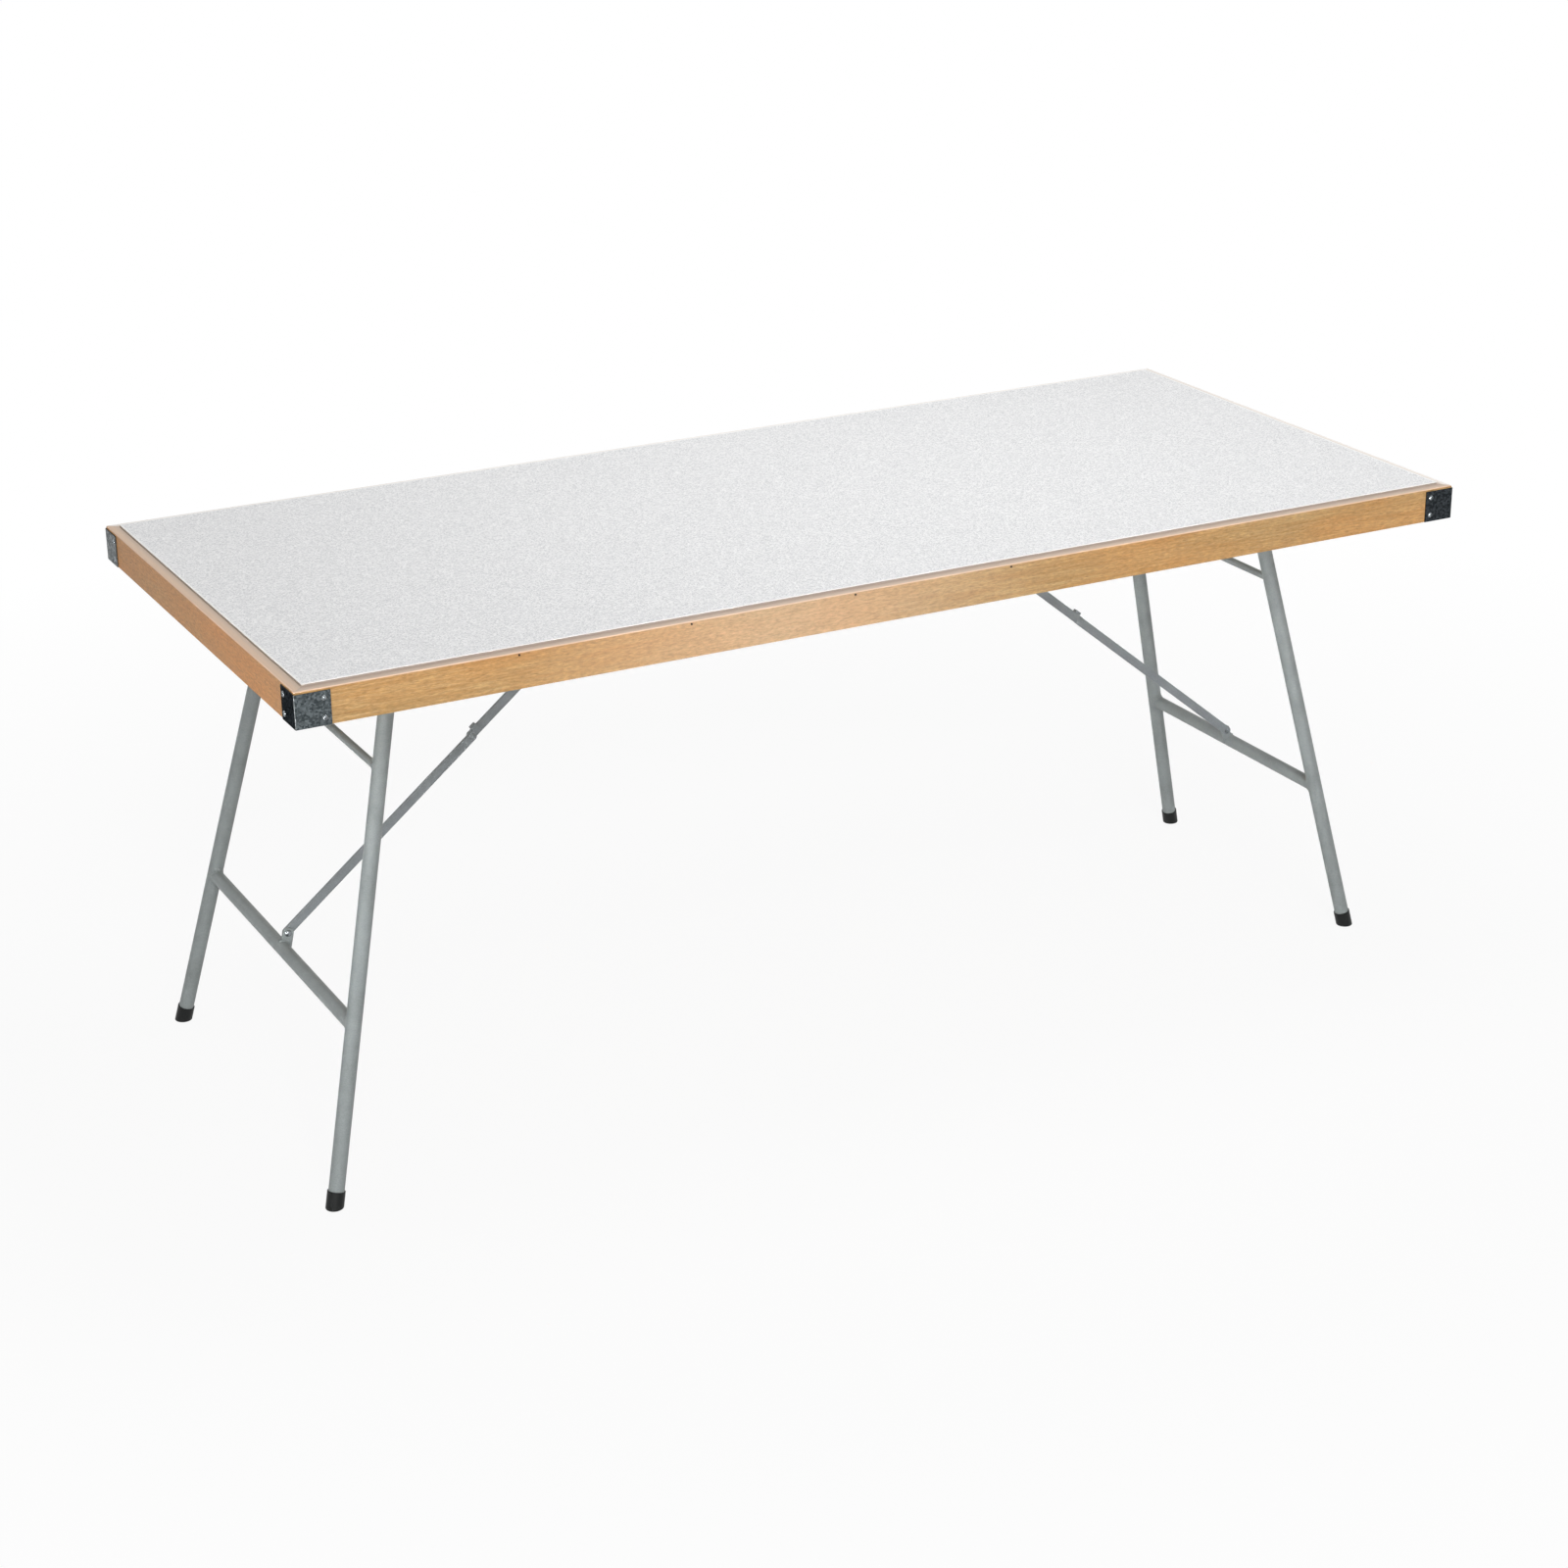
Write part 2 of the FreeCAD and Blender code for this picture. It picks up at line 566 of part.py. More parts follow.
def make_hinges(board_holes):
    """Channel brackets under the board, with the bolts and nuts that the leg tubes turn on."""
    for side in SIDES:
        for end in ENDS:
            name = f"{end}_{side}_hinge"
            base = slab(f"{name}_base", name,
                        ("-bracket_length / 2", "-bracket_width / 2", "hinge_drop - bracket_thickness"),
                        ("bracket_length", "bracket_width", "bracket_thickness"))
            pieces = [base]
            for y in ("-bracket_width / 2", "hinge_gap / 2"):
                pieces.append(slab(f"{name}_cheek", name, ("-cheek_radius", y, 0),
                                   ("2 * cheek_radius", "bracket_thickness", "hinge_drop")))
                pieces.append(rod(f"{name}_cheek_end", name, (0, y, 0), "2 * cheek_radius",
                                  "bracket_thickness", ALONG_PLUS_Y))
            bore = rod(f"{name}_bore", name, (0, "-bracket_width / 2", 0), "bolt_diameter + 2 * running_fit",
                       "bracket_width", ALONG_PLUS_Y)
            blank = fuse(f"{name}_blank", *pieces)
            node(f"{end}_{side}_hinge_bracket", cut(f"{name}_bracket", blank, bore, board_holes))
    bolt = hinge_bolt()
    nut = hinge_nut()
    doc.recompute()
    node("hinge_bolts", group("hinge_bolts", bolt.Shape, bolt_places(nuts=False)))
    node("hinge_nuts", group("hinge_nuts", nut.Shape, bolt_places(nuts=True)))


def make_strut_bracket(side, board_holes):
    """Angle bracket under the board whose flange carries the strut's upper end, and its rivet."""
    name = f"{side}_strut_bracket"
    frame = f"{side}_side"
    low_x = "strut_reach - strut_bracket_length / 2"
    base = slab(f"{name}_base", frame, (low_x, "flange_inner", "hinge_drop - flange_thickness"),
                ("strut_bracket_length", "strut_bracket_width", "flange_thickness"))
    flange = slab(f"{name}_flange", frame, ("strut_reach - flange_radius", "flange_inner", "strut_offset"),
                  ("2 * flange_radius", "flange_thickness", "hinge_drop - strut_offset"))
    end = rod(f"{name}_end", frame, ("strut_reach", "flange_inner", "strut_offset"), "2 * flange_radius",
              "flange_thickness", ALONG_PLUS_Y)
    bore = rod(f"{name}_bore", frame, ("strut_reach", "flange_inner", "strut_offset"),
               "rivet_diameter + 2 * running_fit", "flange_thickness", ALONG_PLUS_Y)
    node(name, cut(name, fuse(f"{name}_blank", base, flange, end), bore, board_holes))
    seat = at("strut_reach", "flange_outer", "strut_offset", ALONG_MINUS_Y, frame)
    node(f"{side}_anchor_rivet", rivet(f"{side}_anchor_rivet", seat, "flange_outer - link_inner", sunk=True))


# Leg frames
def make_leg(side, end):
    """Splayed leg tube with its bolt hole, and the solid bar that its neighbours are coped with."""
    name = f"{side}_{end}_leg"
    axis = f"{side}_{end}_axis"
    start = (0, 0, "-tube_top")
    length = f"{side}_leg_floor - cap_sole + tube_top"
    outside = rod(f"{name}_outside", axis, start, "tube_diameter", length)
    bore = rod(f"{name}_bore", axis, start, "tube_diameter - 2 * tube_wall", length)
    bolt_hole = rod(f"{name}_bolt_hole", f"{end}_{side}_hinge", (0, "-bracket_width / 2", 0),
                    "bolt_diameter + 2 * running_fit", "bracket_width", ALONG_PLUS_Y)
    node(name, cut(name, outside, bore, bolt_hole))
    return rod(f"{name}_cope", axis, start, "tube_diameter + 2 * running_fit", length)


def make_foot_cap(side, end):
    """Plastic cap over a leg tube's end, cut flat at the floor with its edge rounded."""
    name = f"{side}_{end}_foot_cap"
    body = doc.addObject("PartDesign::Body", f"{name}_blank")
    tube_end = f"{side}_leg_floor - cap_sole"
    rim = f"{tube_end} - cap_grip"
    below_floor = f"{side}_leg_floor + cap_diameter"
    bore = "tube_diameter / 2 + running_fit"
    section = outline(body, "XZ_Plane", f"{name}_section", (
        ("0", tube_end), (bore, tube_end), (bore, rim), ("cap_diameter / 2", rim),
        ("cap_diameter / 2", below_floor), ("0", below_floor)))
    turned = body.newObject("PartDesign::Revolution", f"{name}_turned")
    turned.Profile = section
    turned.ReferenceAxis = (section, ["V_Axis"])
    bind(body, Placement=at(0, 0, 0, datum=f"{side}_{end}_axis"))
    x = "-foot_x" if side == "left" else "foot_x"
    y = f"{ENDS[end]} * {side}_foot_half"
    low_corner = (f"{x} - 2 * cap_diameter", f"{y} - 2 * cap_diameter", "-4 * cap_diameter")
    floor = slab(f"{name}_floor", "", low_corner, ["4 * cap_diameter"] * 3)
    flat = cut(f"{name}_flat", body, floor)
    doc.recompute()
    sole = []
    for index, edge in enumerate(flat.Shape.Edges, start=1):
        if all(near(point.z, 0) for point in edge.discretize(FLOOR_POINTS)):
            sole.append((index, size("cap_edge_radius"), size("cap_edge_radius")))
    if not sole:
        raise RuntimeError(f"{name} has no sole edge")
    item = doc.addObject("Part::Fillet", name)
    item.Base = flat
    item.Edges = sole
    node(name, item)


def make_leg_frame(side):
    """Legs, foot caps, crossbars and strut lug of one frame."""
    frame = f"{side}_frame"
    copes = []
    for end in ENDS:
        copes.append(make_leg(side, end))
        make_foot_cap(side, end)

    lower = f"{side}_lower_crossbar"
    lower_half = f"({side}_hinge_half + lower_bar_along * tan({side}_splay * 1 deg))"
    lower_start = ("lower_bar_along", f"-{lower_half}", 0)
    lower_length = f"2 * {lower_half}"
    outside = rod(f"{lower}_outside", frame, lower_start, "lower_bar_diameter", lower_length, ALONG_PLUS_Y)
    bore = rod(f"{lower}_bore", frame, lower_start, "lower_bar_diameter - 2 * tube_wall", lower_length,
               ALONG_PLUS_Y)
    node(lower, cut(lower, outside, bore, *copes))

    upper = f"{side}_upper_crossbar"
    upper_half = f"({side}_hinge_half + upper_bar_along * tan({side}_splay * 1 deg))"
    bar = rod(f"{upper}_bar", frame, ("upper_bar_along", f"-{upper_half}", "-upper_bar_set"),
              "upper_bar_diameter", f"2 * {upper_half}", ALONG_PLUS_Y)
    node(upper, cut(upper, bar, *copes))

    lug = f"{side}_strut_lug"
    plate = slab(f"{lug}_plate", frame, ("lug_along", "-lug_outer", "strut_offset - lug_radius"),
                 ("lower_bar_along - lug_along", "lug_thickness", "2 * lug_radius"))
    end = rod(f"{lug}_end", frame, ("lug_along", "-lug_outer", "strut_offset"), "2 * lug_radius",
              "lug_thickness", ALONG_PLUS_Y)
    hole = rod(f"{lug}_hole", frame, ("lug_along", "-lug_outer", "strut_offset"),
               "rivet_diameter + 2 * running_fit", "lug_thickness", ALONG_PLUS_Y)
    cope = rod(f"{lug}_cope", frame, ("lower_bar_along", "-2 * lug_outer", 0),
               "lower_bar_diameter + 2 * running_fit", "4 * lug_outer", ALONG_PLUS_Y)
    node(lug, cut(lug, fuse(f"{lug}_blank", plate, end), cope, hole))
    seat = at("lug_along", "-lug_outer", "strut_offset", ALONG_PLUS_Y, frame)
    node(f"{side}_lug_rivet", rivet(f"{side}_lug_rivet", seat, "lug_outer - link_inner", sunk=True))


# Struts
def make_link(name, frame, start, length, low_y, extras, sunk_hole, plain_hole):
    """Flat bar with round ends, a countersunk pivot hole and a knuckle hole."""
    low_z = "-link_height / 2"
    pieces = [slab(f"{name}_bar", frame, (start, low_y, low_z), (length, "link_thickness", "link_height"))]
    for x in (start, f"{start} + {length}"):
        pieces.append(rod(f"{name}_end", frame, (x, low_y, 0), "link_height", "link_thickness", ALONG_PLUS_Y))
    holes = []
    for x in (sunk_hole[0], plain_hole):
        holes.append(rod(f"{name}_hole", frame, (x, low_y, 0), "rivet_diameter + 2 * running_fit",
                         "link_thickness", ALONG_PLUS_Y))
    x, inner_y, turn = sunk_hole
    holes.append(make("Part::Cone", f"{name}_sink", Radius1="rivet_sink_diameter / 2 + running_fit",
                      Radius2="rivet_diameter / 2 + running_fit", Height="rivet_sink_depth",
                      Placement=at(x, inner_y, 0, turn, frame)))
    return cut(name, fuse(f"{name}_blank", *pieces, *extras), *holes)


def make_strut(side):
    """Lower link with its stop tab, upper link, and half of the knuckle rivet on each."""
    frame = f"{side}_strut"
    lower = f"{side}_lower_link"
    edge = "link_height / 2"
    tab_x = "lower_link_length + tab_reach - tab_length"
    arm = slab(f"{lower}_arm", frame, ("lower_link_length", "-link_outer", f"{edge} - tab_arm_height"),
               ("tab_reach", "link_thickness", "tab_arm_height"))
    riser = slab(f"{lower}_riser", frame, (tab_x, "-link_outer", f"{edge} - tab_arm_height"),
                 ("tab_length", "link_thickness", "tab_arm_height + tab_gap + tab_thickness"))
    tab = slab(f"{lower}_tab", frame, (tab_x, "-link_outer", f"{edge} + tab_gap"),
               ("tab_length", "2 * link_outer", "tab_thickness"))
    node(lower, make_link(lower, frame, "0", "lower_link_length", "-link_outer", (arm, riser, tab),
                          ("0", "-link_inner", ALONG_MINUS_Y), "lower_link_length"))
    upper = f"{side}_upper_link"
    node(upper, make_link(upper, frame, "lower_link_length", "upper_link_length", "link_inner", (),
                          ("strut_length", "link_inner", ALONG_PLUS_Y), "lower_link_length"))
    for word, y, turn in (("lower", "-link_outer", ALONG_PLUS_Y), ("upper", "link_outer", ALONG_MINUS_Y)):
        name = f"{side}_{word}_knuckle_rivet"
        seat = at("lower_link_length", y, 0, turn, frame)
        node(name, rivet(name, seat, "link_thickness", sunk=False))


def check_document():
    """Stop if any object failed, or any sub-part is empty or not valid."""
    doc.recompute()
    for item in doc.Objects:
        if "Invalid" in item.State or "Error" in item.State:
            raise RuntimeError(f"{item.Name} failed: {item.State}")
    for name, item in nodes.items():
        if item.Shape.isNull() or not item.Shape.isValid() or not item.Shape.Solids:
            raise RuntimeError(f"{name} has no valid solid")


def write_parts():
    """Write each sub-part to its own file."""
    os.makedirs("parts", exist_ok=True)
    for name, item in nodes.items():
        item.Shape.exportStep(f"parts/{name}.step")
        box = item.Shape.BoundBox
        print(f"{name}: {len(item.Shape.Solids)} solid, {item.Shape.Volume:.0f} mm3, "
              f"x {box.XMin:.1f} to {box.XMax:.1f}, y {box.YMin:.1f} to {box.YMax:.1f}, "
              f"z {box.ZMin:.1f} to {box.ZMax:.1f}")


fill_sheet()
make_datums()
screw_holes = make_top()
make_hinges(screw_holes)
for side_word in SIDES:
    make_strut_bracket(side_word, screw_holes)
    make_leg_frame(side_word)
    make_strut(side_word)
check_document()
write_parts()
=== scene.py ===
import json
import math

import bmesh
import bpy
from mathutils import Matrix, Vector


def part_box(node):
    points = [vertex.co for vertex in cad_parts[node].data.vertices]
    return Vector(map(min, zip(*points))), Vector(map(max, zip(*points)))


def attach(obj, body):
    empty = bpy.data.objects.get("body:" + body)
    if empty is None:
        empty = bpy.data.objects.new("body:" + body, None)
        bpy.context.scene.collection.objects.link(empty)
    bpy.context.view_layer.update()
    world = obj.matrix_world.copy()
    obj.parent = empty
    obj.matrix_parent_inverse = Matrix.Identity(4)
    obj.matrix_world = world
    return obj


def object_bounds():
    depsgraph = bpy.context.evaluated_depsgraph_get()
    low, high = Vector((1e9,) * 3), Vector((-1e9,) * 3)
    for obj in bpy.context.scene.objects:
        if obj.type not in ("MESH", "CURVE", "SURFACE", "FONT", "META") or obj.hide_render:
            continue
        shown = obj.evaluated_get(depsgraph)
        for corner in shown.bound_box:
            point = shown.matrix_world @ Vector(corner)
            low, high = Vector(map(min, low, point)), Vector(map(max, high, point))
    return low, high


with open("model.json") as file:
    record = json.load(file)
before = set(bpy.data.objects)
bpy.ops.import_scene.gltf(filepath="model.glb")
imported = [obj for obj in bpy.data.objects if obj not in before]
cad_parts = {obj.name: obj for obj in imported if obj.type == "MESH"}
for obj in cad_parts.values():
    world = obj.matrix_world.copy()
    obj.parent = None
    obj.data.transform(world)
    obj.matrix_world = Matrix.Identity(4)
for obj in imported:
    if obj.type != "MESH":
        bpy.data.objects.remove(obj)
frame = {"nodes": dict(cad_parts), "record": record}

CAD_LOW, CAD_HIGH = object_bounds()
PANEL_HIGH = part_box("top_laminate")[1]
SIDES = ("left", "right")
ENDS = ("front", "rear")
CORNERS = ("front_left", "front_right", "rear_left", "rear_right")
MOUNTS = {mount["name"]: Vector(mount["pos_m"]) for mount in frame["record"]["mounts"]}
LEG_RADIUS = 0.011
IMAGE_WIDTH = 1600
SENSOR_MM = 36.0

bl_info = {
    "name": "Folding trestle table",
    "version": (1, 0, 0),
    "blender": (4, 5, 0),
    "location": "3D View > Sidebar > Trestle table",
    "description": "Finishes the packed folding table and sets it on a pale studio floor",
    "category": "Object",
}


def linear(hex_colour):
    """An sRGB hex value as the linear colour that Blender's sockets take."""
    values = []
    for start in (0, 2, 4):
        value = int(hex_colour[start:start + 2], 16) / 255
        values.append(value / 12.92 if value <= 0.04045 else ((value + 0.055) / 1.055) ** 2.4)
    return (*values, 1.0)


def per_mm(size):
    """A texture's scale for a pattern of this size in millimetres, on coordinates in metres."""
    return 1000.0 / size


def colour(name, description, hex_colour):
    """A colour that the user can change."""
    return bpy.props.FloatVectorProperty(name=name, description=description, subtype="COLOR", size=4,
                                         min=0.0, max=1.0, default=linear(hex_colour))


def length(name, description, millimetres):
    """A length that the user can change."""
    return bpy.props.FloatProperty(name=name, description=description, subtype="DISTANCE", unit="LENGTH",
                                   min=0.0, default=millimetres / 1000)


def angle(name, description, degrees):
    """An angle that the user can change."""
    return bpy.props.FloatProperty(name=name, description=description, subtype="ANGLE", unit="ROTATION",
                                   default=math.radians(degrees))


def power(name, description, watts):
    """A lamp's power that the user can change."""
    return bpy.props.FloatProperty(name=name, description=description, unit="POWER", min=0.0, default=watts)


class TableFinishes(bpy.types.PropertyGroup):
    """Colours of the table's materials."""
    laminate: colour("Laminate", "Ground colour of the top's laminate", "F6F6F6")
    laminate_fleck: colour("Laminate fleck", "Darker flecks printed on the laminate", "C6C7C9")
    # The laminate's edge colour is a painted highlight along the cut edge
    laminate_edge_highlight: colour("Laminate edge", "Edge of the laminate, buffed pale", "F8F8F7")
    beech_light: colour("Beech, light", "Early wood of the rails", "C9AB7B")
    beech_dark: colour("Beech, dark", "Late wood of the rails", "AA8452")
    beech_warm: colour("Beech, warm", "Redder heartwood patches", "D2904E")
    # The pale middle of the long rails is a painted highlight, a lamp's glare on the lacquer
    beech_glare: colour("Beech, pale", "Middle of the long rails, leaned on and bleached", "E0C4A6")
    beech_fleck: colour("Beech fleck", "Ray flecks of the rails", "8E6636")
    beech_rim: colour("Rubbed rim", "Top of the rails, greyed by hands", "BEAC9C")
    # The grime colour beside the panel is partly dirt and partly painted shade under the panel's raised edge
    beech_grime_and_shade: colour("Grime", "Dirt on the rails beside the panel", "A8958B")
    beech_end_rim: colour("Rubbed end rim", "Top of the left rail, rubbed pale", "D0B69E")
    # The arris colour is partly wear and partly a painted highlight on the rounding
    beech_arris: colour("Rubbed arris", "Rounded edge of the rails, rubbed pale", "E2C6AF")
    # The near-white top of the rear and right rails is a painted highlight
    beech_rim_highlight: colour("Sunned rim", "Top of the rear and right rails, bleached by the sun", "F3EEE8")
    ply_edge: colour("Plywood edge, light", "Long-grain plies at the board's edge", "BEB0A4")
    ply_edge_dark: colour("Plywood edge, dark", "End-grain plies at the board's edge", "A09388")
    plywood_light: colour("Plywood, light", "Face veneer under the board", "E9E0D2")
    plywood_dark: colour("Plywood, dark", "Veneer figure under the board", "D7C8AF")
    zinc_dark: colour("Zinc, dark", "Dark crystals of the galvanising", "6C7173")
    zinc_middle: colour("Zinc, middle", "Common crystals of the galvanising", "979A9B")
    zinc_light: colour("Zinc, light", "Bright crystals of the galvanising", "C6CACB")
    # The three films lighten or darken whole plates and flanges as painted reflection and shade, on top of
    # the zinc's oxide
    zinc_film_lit: colour("Oxide, thin", "Film on zinc that has stayed bright", "F2F3F3")
    oxide: colour("Oxide", "Film on weathered zinc", "90979A")
    zinc_film_shaded: colour("Oxide, thick", "Film on the dullest zinc", "5A5E62")
    brad: colour("Brads", "Oxide on the brad heads", "3A2F27")
    brad_dark: colour("Brads, dark", "Thicker oxide on the brad heads", "1E1A18")
    tube: colour("Tube paint", "Silver paint of the leg frames", "868D8D")
    tube_dark: colour("Tube paint, dull", "Duller streaks of the silver paint", "757B7A")
    bar: colour("Bar paint", "Grey paint of the struts", "7E8487")
    bar_dark: colour("Bar paint, dull", "Rubbed and dirty places of the strut paint", "6E7376")
    plastic: colour("Foot plastic", "Moulded foot caps", "121414")
    plastic_scuff: colour("Foot scuff", "Scuffs on the foot caps", "2C2E2D")
    screw: colour("Screws", "Bright zinc plating", "9DA3A6")
    screw_dull: colour("Screws, dull", "Dulled plating", "565A5D")


class TableDetails(bpy.types.PropertyGroup):
    """Sizes of the small made details."""
    weld: length("Weld", "Reach of the welds between crossbars and tubes", 7.0)
    lug_weld: length("Lug weld", "Reach of the welds along the strut lugs", 2.5)
    ripple: length("Weld ripple", "Spacing of the ripples along a weld", 4.5)
    spangle: length("Spangle", "Common width of a galvanising crystal", 2.6)
    ring: length("Growth ring", "Spacing of the growth rings on a rail's face", 5.0)
    ply: length("Plies", "Two plies of the board, seen at its edge", 3.4)
    fleck: length("Laminate fleck", "Spacing of the flecks printed on the laminate", 1.7)


class TableStage(bpy.types.PropertyGroup):
    """Camera, lamps and floor."""
    focus: bpy.props.FloatProperty(name="Focal length", description="Focal length in photo pixels",
                                   default=3213.75)
    turn: angle("Camera turn", "Camera's turn about the table, from the front", -27.542)
    rise: angle("Camera rise", "Camera's rise over the horizon", 21.88)
    roll: angle("Camera roll", "Camera's roll", -0.686)
    place: bpy.props.FloatVectorProperty(name="Camera place", description="Where the camera stands",
                                         subtype="TRANSLATION", unit="LENGTH",
                                         default=(-2.0527, -3.9154, 2.1033))
    top_lamp: power("Top lamp", "Softbox over the table", 21.5)
    key_lamp: power("Key lamp", "High softbox at the front left", 480.0)
    fill_lamp: power("Fill lamp", "Low softbox at the front left", 60.0)
    strip_lamp: power("Leg strip", "Gridded strip low at the left, which models the legs", 2.8)
    sky: bpy.props.FloatProperty(name="Sky", description="Light of the walls and ceiling, on average",
                                 min=0.0, default=0.36)
    floor: colour("Floor", "Pale studio floor", "DCDCDC")
    floor_white: bpy.props.FloatProperty(name="Floor white", subtype="FACTOR", min=0.0, max=1.0, default=0.92,
                                         description="How far the floor is lifted to white")


def add(tree, kind, inputs=None, stops=None, **settings):
    """Add a node with its settings, and set or link its inputs."""
    node = tree.nodes.new(f"ShaderNode{kind}")
    for key, value in settings.items():
        setattr(node, key, value)
    for key, value in (inputs or {}).items():
        if isinstance(value, bpy.types.NodeSocket):
            tree.links.new(value, node.inputs[key])
        else:
            node.inputs[key].default_value = value
    if stops:
        ramp = node.color_ramp.elements
        for element, (place, shade) in zip(ramp, (stops[0], stops[-1])):
            element.position = place
            element.color = shade
        for place, shade in stops[1:-1]:
            ramp.new(place).color = shade
    return node


def start(name):
    """A new material with an empty node tree, and its object coordinates."""
    material = bpy.data.materials.new(name)
    material.use_nodes = True
    tree = material.node_tree
    tree.nodes.clear()
    return material, tree, add(tree, "TexCoord").outputs["Object"]


def blend(tree, share, first, second, mode="MIX"):
    """Colour output of two colours mixed by a share."""
    return add(tree, "Mix", {0: share, 6: first, 7: second}, data_type="RGBA", blend_type=mode).outputs[2]


def past_panel(tree, place):
    """How far a point lies outside the panel's outline, or inside it where that is negative."""
    apart = add(tree, "SeparateXYZ", {"Vector": place})
    beyond = []
    for axis, half in (("X", PANEL_HIGH.x), ("Y", PANEL_HIGH.y)):
        size = add(tree, "Math", {0: apart.outputs[axis]}, operation="ABSOLUTE")
        beyond.append(add(tree, "Math", {0: size.outputs["Value"], 1: half}, operation="SUBTRACT"))
    return add(tree, "Math", {0: beyond[0].outputs["Value"], 1: beyond[1].outputs["Value"]},
               operation="MAXIMUM").outputs["Value"]


def facing(tree):
    """The three parts of the surface's direction."""
    return add(tree, "SeparateXYZ", {"Vector": add(tree, "NewGeometry").outputs["Normal"]}).outputs


GREY = {value: (value, value, value, 1.0) for value in (0.0, 0.35, 1.0)}


def laminate(finish, detail):
    """High-pressure laminate, pressed on a satin plate: near white, finely flecked, with a soft sheen."""
    material, tree, place = start("high_pressure_laminate")
    fleck = add(tree, "TexVoronoi", {"Vector": place, "Scale": 1 / detail.fleck, "Randomness": 1.0})
    chance = add(tree, "SeparateColor", {"Color": fleck.outputs["Color"]})
    mottle = add(tree, "TexNoise", {"Vector": place, "Scale": per_mm(3), "Detail": 2.0, "Roughness": 0.7})
    mixed = add(tree, "Math", {0: chance.outputs["Red"], 1: mottle.outputs["Fac"]}, operation="MULTIPLY")
    tint = add(tree, "MapRange", {"Value": mixed.outputs["Value"], "From Max": 0.45})
    flecked = blend(tree, tint.outputs["Result"], finish.laminate_fleck, finish.laminate)
    # A pale line about 2 mm wide along the cut edge is a painted highlight
    highlight_band = add(tree, "MapRange", {"Value": past_panel(tree, place), "From Min": -0.003, "From Max": -0.0015})
    final = blend(tree, highlight_band.outputs["Result"], flecked, finish.laminate_edge_highlight)
    cloud = add(tree, "TexNoise", {"Vector": place, "Scale": per_mm(160), "Detail": 3.0, "Roughness": 0.6})
    wiped = add(tree, "MapRange", {"Value": cloud.outputs["Fac"], "To Min": 0.36, "To Max": 0.48})
    # The plate's texture is finer than a pixel, so it is drawn about twice as coarse
    pressed = add(tree, "TexNoise", {"Vector": place, "Scale": per_mm(2.2), "Detail": 1.0})
    bump = add(tree, "Bump", {"Height": pressed.outputs["Fac"], "Strength": 0.1, "Distance": 0.0003})
    shader = add(tree, "BsdfPrincipled", {"Base Color": final, "Roughness": wiped.outputs["Result"],
                                          "Normal": bump.outputs["Normal"], "IOR": 1.48})
    add(tree, "OutputMaterial", {"Surface": shader.outputs["BSDF"]})
    return material


